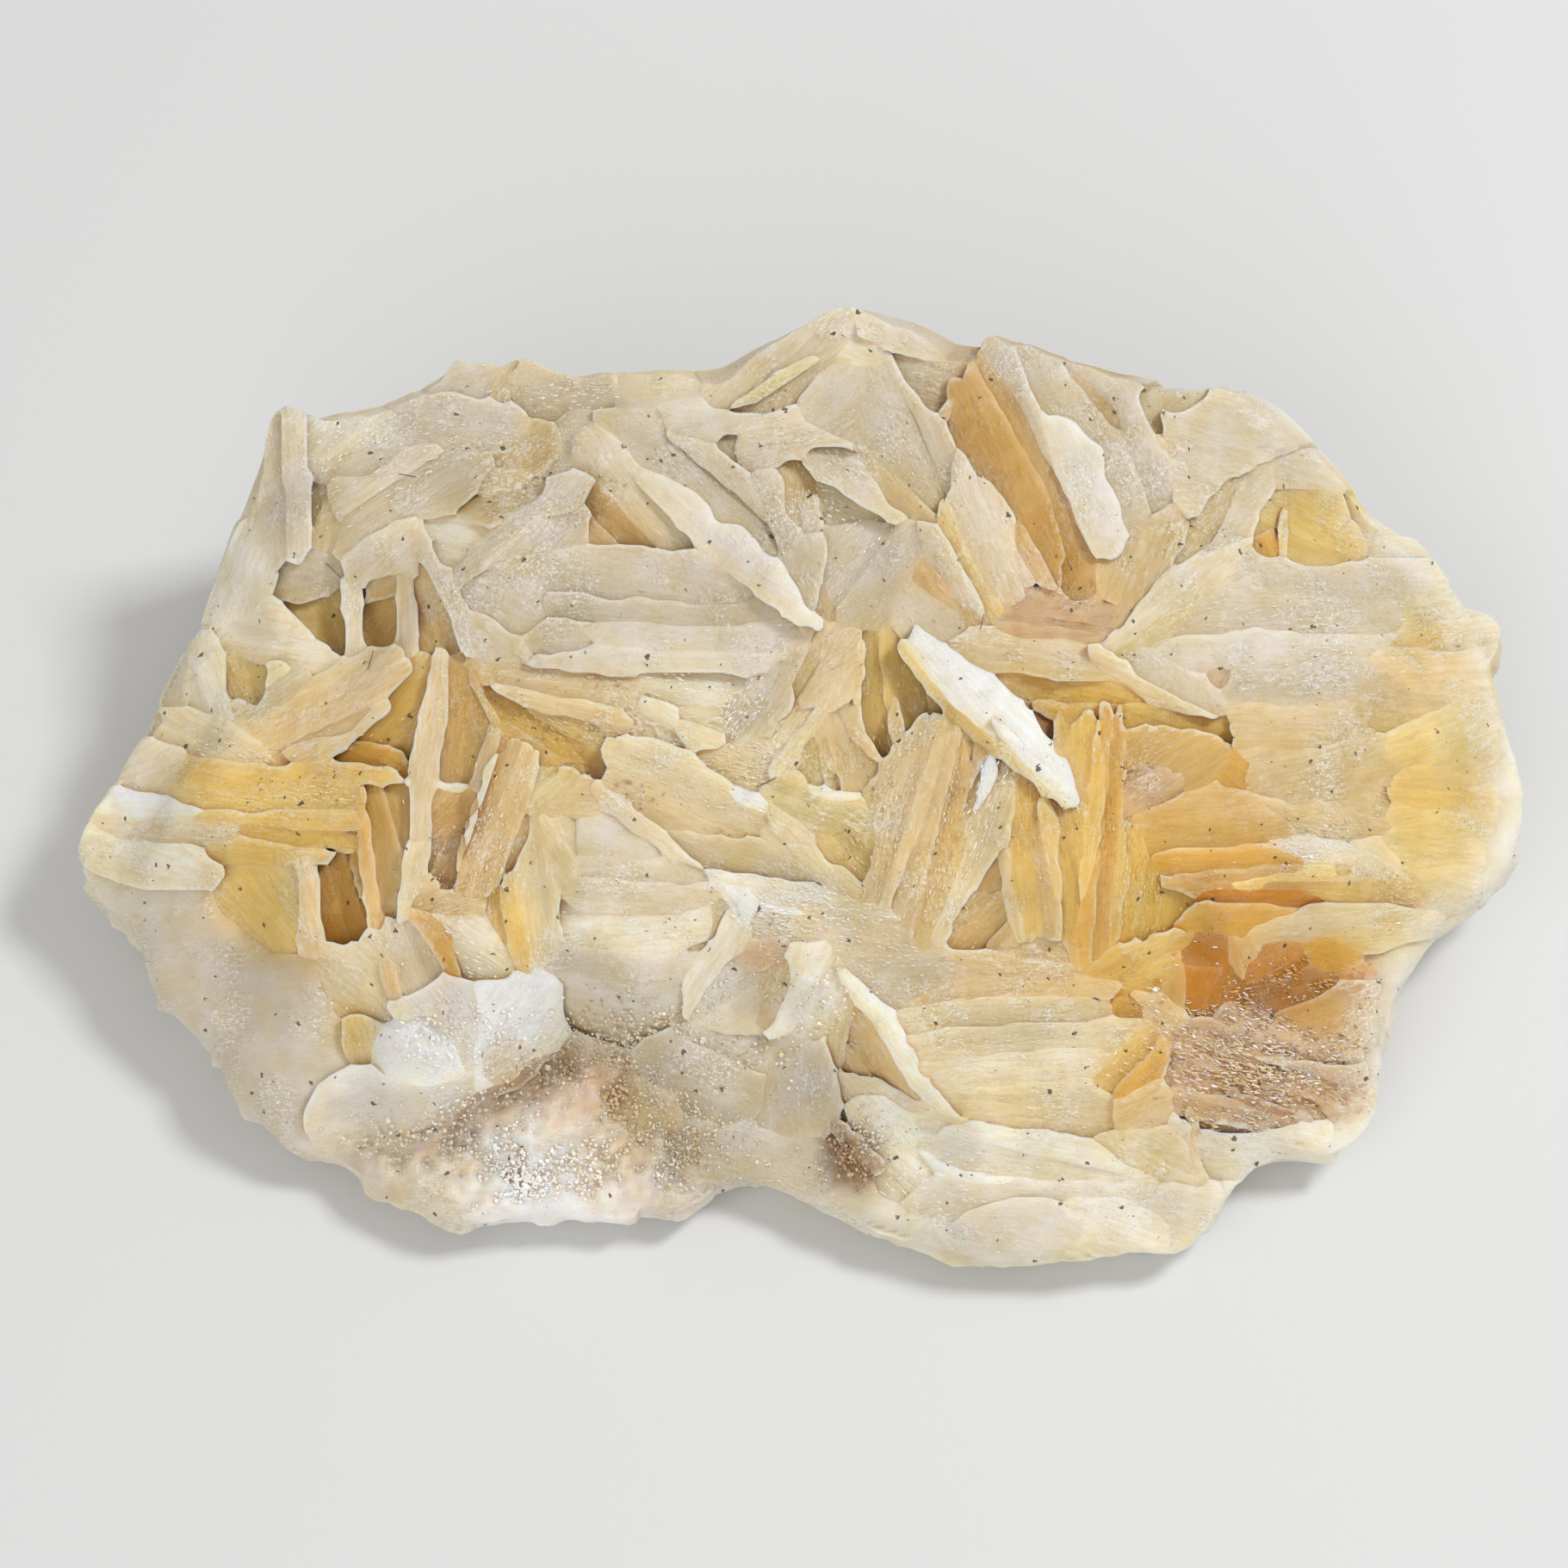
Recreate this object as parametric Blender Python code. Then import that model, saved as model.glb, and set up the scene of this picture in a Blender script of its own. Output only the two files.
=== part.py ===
"""Barite crystal cluster: lens-shaped blades grown together over a smooth rind, cut flat below.

The whole cluster is one grown piece, so it is one solid. Lengths are in millimetres up to the
last step, which makes the mesh in metres, +Z up, with the origin under the middle of the box.
"""
import math

import bmesh
import bpy
from mathutils import Matrix, Vector

# Driving dimensions, in millimetres and degrees.
MM = 0.001
CUT_INSET = 0.90          # the flat cut below, as a share of the widest outline
UNDERCUT_INSET = 0.972    # the wall between the cut and the widest outline
UNDERCUT_LEVEL = 0.42     # height of that wall's fold, as a share of the rim's height
DOME_RINGS = (0.93, 0.80, 0.62, 0.40, 0.20)
DOME_RISE = 0.55          # how fast the dome leaves the rim: the less, the steeper
DOME_FULL = 1.6           # the dome reaches the top's level before its middle by this factor
GROUND_MIDDLE = -0.5      # the rings of the ground close in on this place in front of the origin
CREST_DROP = 1.6          # how much lower a blade's two tips are than its middle
CREST_BASE = 0.4          # a crest lies level with its tips where the lens is this full
STATIONS = ((0.2, 0.72), (0.5, 1.0), (0.8, 0.72))  # share of the length, fullness of the lens
TIP_DEPTH = 0.5           # the pointed tips lie this far under the ends of the crest
FLANK_SHARE = 0.5         # a shallow blade is thickest at this share of its depth
STEEPEST = 0.2            # least fall per length of a leaning blade, for the way to its root
FLANK_DEPTH = 3.4         # from a blade's crest down to where it is thickest
BLADE_DEPTH = 11.0        # from a blade's crest down to its root
ROOT_CLEARANCE = 1.5      # the roots stay this far above the cut

# Places on the top are read on a sloping plane: x runs along the cluster, v runs up the plane,
# and the plane leans back until its normal is SIGHT_RISE above the level. It passes SIGHT_LEVEL
# above the middle of the cut. The lines of sight meet at SIGHT_REACH from it.
SIGHT_RISE = math.radians(62.0)
SIGHT_LEVEL = 15.0
SIGHT_REACH = 400.0
MEAN_TOP = 20.0           # height at which the search for a place on the top starts
SEARCH_ROUNDS = 8
NEARNESS = 12.0           # softens the weight of the nearest spots, in square millimetres

# The widest outline of the rind, counter-clockwise from the left tip: x, v and height.
RIM = [
    (-55.8, -5.6, 9), (-55.2, -7.6, 8), (-53.2, -9.8, 7.5), (-51.2, -12.6, 7), (-50.4, -15.4, 6.5),
    (-47.6, -19.0, 6), (-45.4, -21.0, 5.5), (-44.3, -24.0, 5), (-42.0, -26.2, 4.5),
    (-39.2, -28.5, 4), (-35.6, -29.2, 4), (-32.8, -31.4, 4), (-29.2, -33.2, 4), (-26.0, -34.1, 4),
    (-21.5, -33.6, 4), (-16.5, -33.3, 4), (-12.6, -33.0, 4), (-9.6, -33.0, 4), (-6.6, -31.0, 4),
    (-3.6, -30.8, 4), (0.4, -32.4, 4), (4.2, -33.8, 4), (9.0, -35.4, 4), (14.0, -36.8, 4),
    (20.0, -37.0, 4), (25.0, -36.4, 4), (29.0, -36.2, 4), (31.2, -34.4, 4), (33.6, -31.0, 4.5),
    (36.6, -28.9, 5), (41.0, -28.6, 5), (44.2, -26.0, 5.5), (44.9, -20.4, 6), (46.4, -15.8, 7),
    (49.4, -11.9, 8), (53.4, -8.6, 9), (55.6, -3.6, 9.5), (55.5, 1.0, 10), (54.2, 5.0, 10.5),
    (52.8, 10.0, 11), (50.6, 14.2, 11.5), (47.0, 18.2, 12), (43.6, 20.6, 13), (41.0, 23.6, 14),
    (36.4, 27.4, 18), (30.0, 29.2, 21), (22.0, 30.6, 22), (14.0, 32.4, 22), (6.0, 33.4, 22),
    (-2.0, 31.6, 22), (-10.0, 30.4, 22), (-18.0, 30.2, 22), (-26.0, 30.4, 21), (-32.0, 28.0, 20),
    (-38.0, 26.6, 18), (-42.0, 22.0, 16), (-44.6, 16.8, 15), (-46.8, 11.0, 14), (-49.6, 6.0, 13),
    (-52.6, 0.8, 12), (-55.0, -2.6, 10.5),
]

# The top of the cluster at chosen spots: x, v, height of the crests, and how far the blades
# there stand above the ground that they grow from.
TOP = [
    (-54, -5, 10, 1), (-48, -8, 13, 2), (-44, 0, 18, 5), (-50, 4, 14, 2), (-46, 12, 17, 3),
    (-41, 20, 22, 5), (-40, 28, 23, 6), (-36, 12, 19, 8), (-33, 22, 24, 4), (-26, 30, 25, 3),
    (-36, -8, 18, 7), (-40, -20, 11, 0), (-46, -16, 9, 0), (-36, -27, 6, 0), (-28, 8, 23, 6),
    (-22, 18, 26, 5), (-12, 24, 28, 5), (-14, 12, 25, 5), (-8, 5, 24, 5), (-20, 2, 24, 6),
    (-30, -3, 21, 7), (-24, -10, 20, 6), (-14, -6, 23, 5), (-12, -12, 20, 4), (-28, -18, 14, 1),
    (-20, -24, 9, 0), (-26, -30, 6, 0), (-14, -30, 5, 0), (0, 0, 24, 7), (4, 8, 26, 7),
    (0, 16, 27, 5), (0, 28, 28, 4), (3, 36, 30, 5), (8, 30, 28, 5), (12, 22, 28, 7),
    (16, 30, 28, 6), (15, 5, 26, 7), (18, -4, 25, 8), (8, -6, 24, 7), (24, -4, 24, 7),
    (22, 8, 26, 7), (0, -12, 19, 3), (-4, -20, 12, 1), (0, -28, 6, 0), (8, -18, 16, 4),
    (16, -14, 18, 4), (16, -24, 12, 3), (20, -32, 7, 1), (8, -30, 7, 1), (30, -33, 5, 1),
    (28, 28, 26, 4), (34, 24, 23, 3), (42, 20, 17, 3), (30, 14, 25, 6), (40, 10, 21, 4),
    (50, 12, 14, 2), (48, 4, 17, 3), (36, 4, 22, 5), (40, -5, 21, 5), (54, 0, 11, 0),
    (50, -6, 14, 2), (46, -12, 12, 2), (32, -8, 21, 6), (30, -14, 15, 3), (40, -16, 11, 3),
    (34, -22, 10, 1), (42, -26, 6, 0), (26, -20, 13, 3),
]

# The large blades: the two ends of the crest as x, v and x, v, then width, lean and lift. Lean
# turns the face on the left of the way from the first end to the second up to the sky, in
# degrees, and lift raises the crest above the top at that place.
BLADES = [
    # North west: the upright sheaf, the thin walls over the hollows, the wavy shoulder.
    (-40.0, 16.5, -40.2, 28.6, 4.6, 0, 1.2), (-46.0, 10.4, -42.6, 20.0, 3.0, 20, 0.4),
    (-34.6, 17.0, -35.2, 9.6, 1.8, 0, 0.6), (-31.5, 17.4, -29.6, 9.6, 1.8, 0, 0.6),
    (-36.4, 17.0, -29.6, 20.8, 3.4, -30, 0.6), (-37.6, 22.0, -24.6, 23.6, 4.4, -40, 0.4),
    (-36.4, 25.6, -24.0, 28.6, 4.4, -30, 0.4), (-28.6, 30.4, -24.6, 32.2, 3.2, 0, 1.2),
    (-23.4, 32.0, -18.4, 31.6, 3.2, 0, 1.2), (-18.0, 30.6, -7.0, 30.8, 3.6, 0, 0.2),
    (-30.2, 19.8, -25.4, 8.6, 2.2, 20, 0.6), (-27.0, 15.4, -21.0, 21.8, 3.0, 30, 0.6),
    (-22.6, 21.0, -13.6, 23.2, 3.4, -20, 0.4),
    # West: the almond, the level fan on the left, the honey hollows.
    (-44.0, 3.4, -30.4, 10.6, 4.4, -20, 1.0), (-52.0, 1.6, -33.6, -0.4, 3.2, -20, 0.4),
    (-53.0, -1.8, -35.0, -3.4, 3.2, -20, 0.4), (-51.6, -5.0, -37.4, -6.6, 3.2, -20, 0.2),
    (-28.0, 10.2, -30.2, -4.4, 2.4, -10, 1.0), (-30.0, -3.6, -31.2, -11.4, 2.0, 0, 0.8),
    (-24.2, 5.6, -25.8, -1.0, 2.4, 0, 0.4), (-27.2, -8.4, -18.2, 1.4, 4.4, 20, 0.6),
    (-34.0, -0.8, -33.8, -11.0, 2.4, 10, 0.4), (-38.6, -4.6, -37.8, -12.4, 1.8, 0, 0.6),
    (-44.4, -6.4, -39.6, -12.0, 3.2, 10, 0.2), (-30.2, -9.4, -26.8, -15.0, 2.2, 20, 0.6),
    (-24.6, -8.6, -21.2, -14.8, 2.6, 20, 0.6), (-18.8, -2.4, -18.6, -9.2, 2.8, 0, 0.4),
    # Middle: the two long diagonals and the plates of the rosette between them.
    (-25.2, 8.4, -12.6, 4.6, 2.8, -20, 0.8), (-16.4, 1.4, 6.2, -8.8, 4.0, -20, 1.0),
    (-16.4, -0.4, -7.8, -6.8, 1.8, 0, 0.6), (-19.0, -5.0, -8.0, -7.4, 3.2, -20, 0.2),
    (-19.4, -9.4, -5.8, -11.0, 3.4, -20, 0.2), (-20.4, 17.6, -8.8, 17.4, 4.2, -30, 0.4),
    (-21.0, 13.8, -3.6, 13.2, 4.2, -30, 0.2), (-18.4, 10.2, 0.2, 9.2, 4.0, -20, 0.2),
    (-13.0, 5.6, -2.0, 3.8, 4.2, -20, 0.2), (-15.8, 27.0, 2.2, 11.8, 4.2, 20, 1.2),
    (-14.4, 27.8, -3.4, 23.6, 4.6, 30, 0.4), (-6.2, 26.6, 1.8, 13.2, 2.8, 10, 0.6),
    (-5.4, 25.2, 4.4, 30.4, 4.6, -20, 0.2),
    # North: the top crystal, the long honey blades and the pinkish plates right of them.
    (-7.2, 29.6, 3.6, 36.9, 4.8, -30, 0.6), (3.0, 36.7, 10.8, 33.0, 4.4, 10, 0.6),
    (4.2, 23.6, 8.8, 30.0, 4.0, -20, 0.2), (6.4, 32.2, 12.0, 20.6, 3.2, 10, 0.6),
    (11.0, 22.4, 14.6, 13.4, 2.8, 10, 0.6), (-0.2, 26.2, 9.4, 19.8, 3.2, -10, 0.4),
    (2.2, 12.6, 8.8, 19.6, 4.2, -20, 0.2), (8.4, 20.2, 14.4, 12.8, 2.4, 10, 0.6),
    (11.2, 29.2, 17.8, 16.4, 3.0, -20, 0.2), (14.4, 29.4, 20.8, 14.4, 3.4, -20, 0.6),
    (14.4, 34.4, 23.2, 16.6, 4.2, 20, 1.2), (18.2, 33.0, 25.4, 19.4, 3.4, 10, 0.4),
    (22.0, 31.8, 28.4, 22.0, 3.4, 10, 0.4),
    # North east and east: the fan, the broad plates, the knob and the rim's scallops.
    (28.4, 29.6, 36.4, 25.6, 4.6, 10, 0.2), (36.6, 26.2, 23.6, 11.6, 3.4, -10, 0.6),
    (34.6, 18.2, 24.6, 9.6, 3.4, -10, 0.6), (28.0, 12.4, 48.6, 14.2, 4.4, -30, 0.4),
    (30.6, 8.4, 46.6, 10.8, 4.2, -30, 0.2), (36.0, 17.0, 42.6, 22.0, 3.2, -20, 0.4),
    (45.6, 8.6, 53.2, 12.0, 4.4, -20, 0.6), (11.8, 11.4, 25.4, 8.6, 3.0, -20, 0.8),
    (24.0, 8.8, 33.4, 4.2, 2.6, -10, 0.8), (35.0, 4.6, 50.4, 5.6, 4.4, -30, 0.2),
    (34.6, -1.4, 48.0, 0.6, 4.0, -30, 0.2), (45.6, 0.8, 53.4, -1.6, 3.0, -20, 0.6),
    (45.6, -3.4, 53.0, -5.4, 3.0, -20, 0.4), (25.0, -1.6, 39.0, -2.0, 2.6, -20, 0.4),
    (25.2, -6.2, 39.2, -5.6, 2.6, -20, 0.4), (30.0, -8.8, 47.4, -8.2, 2.6, -20, 0.4),
    # Middle right: the big white lens over the bundle of upright blades.
    (8.0, 11.0, 21.1, -1.8, 3.8, 10, 3.0), (9.8, 5.8, 5.2, -9.0, 2.2, 0, 0.4),
    (12.4, 5.2, 8.0, -12.0, 2.6, 0, 0.6), (15.2, 2.2, 10.6, -11.4, 3.0, 0, 0.8),
    (16.6, -1.0, 17.3, -12.4, 1.8, 0, 0.4), (19.4, -1.2, 19.9, -11.8, 2.2, 0, 0.2),
    (22.4, 6.2, 21.0, -13.2, 3.4, 0, 1.0), (24.8, 6.2, 23.8, -12.4, 2.8, 0, 0.6),
    (4.8, 12.2, 6.2, 1.0, 2.8, 0, 0.6), (0.2, 12.2, -1.6, 5.8, 2.4, 0, 0.4),
    (1.0, -1.6, 5.2, -7.4, 3.0, 0, -1.0),
    # South: the sheet that runs down to the front, its white ridges and the grey upright blades.
    (-8.4, -6.4, 9.0, -11.0, 2.6, -20, 0.6), (-4.8, -7.4, -8.2, -17.2, 2.6, 0, 0.6),
    (5.0, -13.0, 28.6, -15.0, 3.6, -30, 0.2), (8.0, -17.2, 26.6, -18.8, 3.6, -30, 0.2),
    (12.0, -21.0, 27.0, -23.4, 3.8, -30, 0.2), (-1.4, -12.0, 0.0, -21.4, 3.8, 0, 0.4),
    (2.8, -14.2, 12.2, -26.0, 2.2, 20, 1.0), (9.0, -27.4, 30.0, -29.0, 3.2, -20, 0.4),
    (11.0, -32.4, 31.0, -32.4, 3.2, -20, 0.4),
    # South east: the amber crystals and the fibrous slope below them.
    (29.2, -15.6, 34.6, -13.8, 4.2, -10, 0.6), (34.8, -16.8, 43.6, -15.0, 4.6, -20, 0.6),
    (28.4, -20.4, 42.4, -23.6, 4.0, -30, 0.0), (20.0, -15.6, 29.4, -10.8, 2.2, -20, 0.8),
]

CREAM = (0.74, 0.64, 0.48, 1.0)
ROUGHNESS = 0.42

NORMAL = Vector((0.0, -math.cos(SIGHT_RISE), math.sin(SIGHT_RISE)))
UPHILL = Vector((0.0, math.sin(SIGHT_RISE), math.cos(SIGHT_RISE)))
MIDDLE = Vector((0.0, 0.0, SIGHT_LEVEL))
EYE = MIDDLE + NORMAL * SIGHT_REACH


def spot(x, v, height):
    """The point at a height on the line of sight through x, v of the sloping plane."""
    ray = MIDDLE + Vector((x, 0.0, 0.0)) + UPHILL * v - EYE
    return EYE + ray * ((height - EYE.z) / ray.z)


TOP_SPOTS = [(spot(x, v, height), height, cover) for x, v, height, cover in TOP]


def top_at(x, y):
    """Height of the crests and the blades' cover at x, y, weighted by nearness to the spots."""
    total, height_sum, cover_sum = 0.0, 0.0, 0.0
    for place, height, cover in TOP_SPOTS:
        near = (place.x - x) ** 2 + (place.y - y) ** 2
        weight = 1.0 / (near + NEARNESS) ** 2
        total += weight
        height_sum += weight * height
        cover_sum += weight * cover
    return height_sum / total, cover_sum / total


def on_top(x, v, lift=0.0):
    """The point on the top surface, raised by lift, that is seen at x, v."""
    height = MEAN_TOP
    for _ in range(SEARCH_ROUNDS):
        place = spot(x, v, height)
        height = top_at(place.x, place.y)[0] + lift
    return spot(x, v, height)


def make_ground():
    """The rind and the ground under the blades: rings from the cut over the rim to the middle."""
    rim = [spot(x, v, height) for x, v, height in RIM]
    middle = Vector((0.0, GROUND_MIDDLE, 0.0))
    rings = []
    for share, level in ((CUT_INSET, 0.0), (UNDERCUT_INSET, UNDERCUT_LEVEL), (1.0, 1.0)):
        rings.append([Vector((middle.x + (p.x - middle.x) * share,
                              middle.y + (p.y - middle.y) * share, p.z * level)) for p in rim])
    for share in DOME_RINGS:
        ring = []
        for p in rim:
            x = middle.x + (p.x - middle.x) * share
            y = middle.y + (p.y - middle.y) * share
            height, cover = top_at(x, y)
            blend = min(1.0, (1.0 - share) ** DOME_RISE * DOME_FULL)
            ring.append(Vector((x, y, p.z + (height - cover - p.z) * blend)))
        rings.append(ring)
    ground = bmesh.new()
    loops = [[ground.verts.new(p) for p in ring] for ring in rings]
    count = len(rim)
    for lower, upper in zip(loops, loops[1:]):
        for i in range(count):
            j = (i + 1) % count
            ground.faces.new((lower[i], lower[j], upper[j], upper[i]))
    height, cover = top_at(middle.x, middle.y)
    peak = ground.verts.new(Vector((middle.x, middle.y, height - cover)))
    for i in range(count):
        ground.faces.new((loops[-1][i], loops[-1][(i + 1) % count], peak))
    ground.faces.new(list(reversed(loops[0])))
    bmesh.ops.recalc_face_normals(ground, faces=ground.faces)
    return ground


def add_blade(solid, first, second, wide, lean):
    """One lens: a sharp crest between two tips, thickest a little below it, and a sharp root."""
    along = (second - first).normalized()
    side = Vector((0.0, 0.0, 1.0)).cross(along).normalized()
    down = along.cross(side).normalized()
    if down.z > 0.0:
        down.negate()
    down = (down * math.cos(math.radians(lean)) + side * math.sin(math.radians(lean))).normalized()
    across = along.cross(down).normalized()
    depth = min(BLADE_DEPTH, (min(first.z, second.z) - ROOT_CLEARANCE) / max(STEEPEST, -down.z))
    flank = min(FLANK_DEPTH, depth * FLANK_SHARE)
    stations = []
    for share, fullness in STATIONS:
        rise = CREST_DROP * (fullness - CREST_BASE)
        crest = first.lerp(second, share) + Vector((0.0, 0.0, rise))
        half = wide / 2.0 * fullness
        stations.append([
            solid.verts.new(crest),
            solid.verts.new(crest + down * flank + across * half),
            solid.verts.new(crest + down * (CREST_DROP + (depth - CREST_DROP) * fullness)),
            solid.verts.new(crest + down * flank - across * half),
        ])
    tips = [solid.verts.new(end + down * TIP_DEPTH) for end in (first, second)]
    faces = []
    for here, there in zip(stations, stations[1:]):
        for i in range(4):
            j = (i + 1) % 4
            faces.append(solid.faces.new((here[i], here[j], there[j], there[i])))
    for tip, station in zip(tips, (stations[0], stations[-1])):
        for i in range(4):
            faces.append(solid.faces.new((station[i], station[(i + 1) % 4], tip)))
    bmesh.ops.recalc_face_normals(solid, faces=faces)


def make_blades():
    solid = bmesh.new()
    for x1, v1, x2, v2, wide, lean, lift in BLADES:
        add_blade(solid, on_top(x1, v1, lift), on_top(x2, v2, lift), wide, lean)
    return solid


def new_object(name, mesh_data):
    bmesh.ops.triangulate(mesh_data, faces=mesh_data.faces)
    mesh = bpy.data.meshes.new(name)
    mesh_data.to_mesh(mesh)
    mesh_data.free()
    thing = bpy.data.objects.new(name, mesh)
    bpy.context.scene.collection.objects.link(thing)
    return thing


def fill_pockets(mesh):
    """Keep the outer shell: the small pockets that blades close off between them are solid."""
    shape = bmesh.new()
    shape.from_mesh(mesh)
    unseen = set(shape.faces)
    shells = []
    while unseen:
        shell = [unseen.pop()]
        for face in shell:
            for edge in face.edges:
                for other in edge.link_faces:
                    if other in unseen:
                        unseen.remove(other)
                        shell.append(other)
        shells.append(shell)
    shells.sort(key=len)
    for shell in shells[:-1]:
        corners = {corner for face in shell for corner in face.verts}
        bmesh.ops.delete(shape, geom=list(corners), context="VERTS")
    shape.to_mesh(mesh)
    shape.free()
    return len(shells) - 1


def barite():
    """Cream, translucent barite with a glassy to pearly face."""
    material = bpy.data.materials.new("barite")
    material.use_nodes = True
    shader = material.node_tree.nodes["Principled BSDF"]
    shader.inputs["Base Color"].default_value = CREAM
    shader.inputs["Roughness"].default_value = ROUGHNESS
    shader.inputs["Metallic"].default_value = 0.0
    shader.inputs["IOR"].default_value = 1.64
    return material


def main():
    for thing in list(bpy.data.objects):
        bpy.data.objects.remove(thing)
    cluster = new_object("barite_cluster", make_ground())
    blades = new_object("blade_shapes", make_blades())
    join = cluster.modifiers.new("grown together", "BOOLEAN")
    join.operation = "UNION"
    join.solver = "EXACT"
    join.use_self = True
    join.object = blades
    bpy.context.view_layer.update()

    # The grown-together solid becomes the cluster's own mesh, in metres, centred on its box.
    whole = bpy.data.meshes.new_from_object(
        cluster.evaluated_get(bpy.context.evaluated_depsgraph_get()))
    cluster.modifiers.remove(join)
    cluster.data = whole
    whole.name = "barite_cluster"
    bpy.data.objects.remove(blades)
    pockets = fill_pockets(whole)
    xs = [v.co.x for v in whole.vertices]
    ys = [v.co.y for v in whole.vertices]
    shift = Vector((-(min(xs) + max(xs)) / 2.0, -(min(ys) + max(ys)) / 2.0, 0.0))
    whole.transform(Matrix.Scale(MM, 4) @ Matrix.Translation(shift))
    whole.materials.clear()
    whole.materials.append(barite())
    zs = [v.co.z / MM for v in whole.vertices]
    size = [round(max(line) - min(line), 2) for line in (xs, ys, zs)]
    print("size in millimetres", size, "shift", tuple(round(s, 3) for s in shift),
          "faces", len(whole.polygons), "pockets filled", pockets)


main()
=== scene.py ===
# %% [markdown]
# # A cluster of bladed barite
# This lesson builds the visible surface of a hand-sized barite specimen: cream and honey blades
# that stand on edge and cut through one another, a smooth pale rind round them, and a grainy,
# stained crust at the front. The specimen is one grown piece, so every mesh below stands for a
# share of the same solid and stays where that solid is.

# %% Load the frame
import math
import random

import bpy
import numpy as np
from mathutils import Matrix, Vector


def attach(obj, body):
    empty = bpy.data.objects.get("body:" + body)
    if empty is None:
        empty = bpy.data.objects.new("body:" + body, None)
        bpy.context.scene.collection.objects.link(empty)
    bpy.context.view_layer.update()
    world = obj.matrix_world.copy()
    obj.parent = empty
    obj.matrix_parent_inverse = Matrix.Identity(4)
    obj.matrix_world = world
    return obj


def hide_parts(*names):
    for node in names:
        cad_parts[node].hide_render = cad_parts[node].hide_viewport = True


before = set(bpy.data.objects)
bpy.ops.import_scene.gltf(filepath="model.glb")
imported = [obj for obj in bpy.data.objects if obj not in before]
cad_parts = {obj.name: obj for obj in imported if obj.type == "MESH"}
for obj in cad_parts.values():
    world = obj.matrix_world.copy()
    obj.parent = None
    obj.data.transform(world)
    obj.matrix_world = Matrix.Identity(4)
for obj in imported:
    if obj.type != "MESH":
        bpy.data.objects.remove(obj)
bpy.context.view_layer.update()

MM = 0.001


# %% [markdown]
# ## Places on the cluster
# The blades are easiest to describe the way they are seen: so far across the cluster and so far
# up it, on a plane that leans back by the same angle as the view. Each place then gets a height,
# and the line of sight gives the point in space. STAND is the small shift that brings the middle
# of the solid over the origin. All lengths are millimetres until a mesh is made.

# %% Lines of sight
SIGHT_RISE, SIGHT_LEVEL, SIGHT_REACH = math.radians(62.0), 15.0, 400.0
STAND = np.array((-0.016, 0.106, 0.0))
ACROSS = np.array((1.0, 0.0, 0.0))
UPHILL = np.array((0.0, math.sin(SIGHT_RISE), math.cos(SIGHT_RISE)))
TOWARDS = np.array((0.0, -math.cos(SIGHT_RISE), math.sin(SIGHT_RISE)))
MIDDLE = np.array((0.0, 0.0, SIGHT_LEVEL)) + STAND
EYE = MIDDLE + TOWARDS * SIGHT_REACH


def spot(x, v, height):
    """Points at given heights on the lines of sight through x, v of the leaning plane."""
    x, v, height = np.broadcast_arrays(*(np.asarray(part, float) for part in (x, v, height)))
    ray = MIDDLE + x[..., None] * ACROSS + v[..., None] * UPHILL - EYE
    return EYE + ray * ((height - EYE[2]) / ray[..., 2])[..., None]


print("a crest in the middle, 25 mm high, is at", spot(0, 0, 25).round(1))

# %% [markdown]
# ## The lie of the top
# The cluster is thick at the back and thins to a low front edge. A few dozen heights, read at
# chosen spots and weighted by nearness, describe that slope better than any formula. Each entry
# is a place across, a place up and a height.

# %% Heights of the top
def numbers_in(text):
    """Rows of numbers from words such as 12,-3.5 or 12,-3.5,20."""
    return np.array([word.split(",") for word in text.split()], float)


TOP = numbers_in("""
-54,-5,10 -48,-8,13 -44,0,18 -50,4,14 -46,12,17 -41,20,22 -40,28,23 -36,12,19 -33,22,24 -26,30,25
-36,-8,18 -40,-20,11 -46,-16,9 -36,-27,6 -28,8,23 -22,18,26 -12,24,28 -14,12,25 -8,5,24 -20,2,24
-30,-3,21 -24,-10,20 -14,-6,23 -12,-12,20 -28,-18,14 -20,-24,9 -26,-30,6 -14,-30,5 0,0,24 4,8,26
0,16,27 0,28,28 3,36,30 8,30,28 12,22,28 16,30,28 15,5,26 18,-4,25 8,-6,24 24,-4,24 22,8,26 0,-12,19
-4,-20,12 0,-28,6 8,-18,16 16,-14,18 16,-24,12 20,-32,7 8,-30,7 30,-33,5 28,28,26 34,24,23 42,20,17
30,14,25 40,10,21 50,12,14 48,4,17 36,4,22 40,-5,21 54,0,11 50,-6,14 46,-12,12 32,-8,21 30,-14,15
40,-16,11 34,-22,10 42,-26,6 26,-20,13
""")
TOP_SPOTS = spot(*TOP.T)
TOP_BLEND = 12.0


def top_at(x, y):
    """Height of the crests at x, y."""
    near = (x[..., None] - TOP_SPOTS[:, 0]) ** 2 + (y[..., None] - TOP_SPOTS[:, 1]) ** 2
    weight = 1.0 / (near + TOP_BLEND) ** 2
    return weight @ TOP[:, 2] / weight.sum(axis=-1)


print("the top at the middle is", top_at(np.zeros(1), np.zeros(1)).round(1), "mm high")

# %% [markdown]
# ## Noise for worn and grown surfaces
# No crystal edge is straight at half a millimetre. The same smooth random field is used for every
# displaced surface: values on a lattice, hashed from whole numbers and blended between them, so
# that each run gives the same shapes. Each seed shifts the lattice and so gives another pattern.

# %% A smooth random field
HASH_STEPS = np.array((374761393, 668265263, 974634777))
HASH_MIX, HASH_BITS, LOW_BITS = 1274126177, 0xFFFFFFFF, 0xFFFF
SEED_STEP = 17.31


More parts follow.
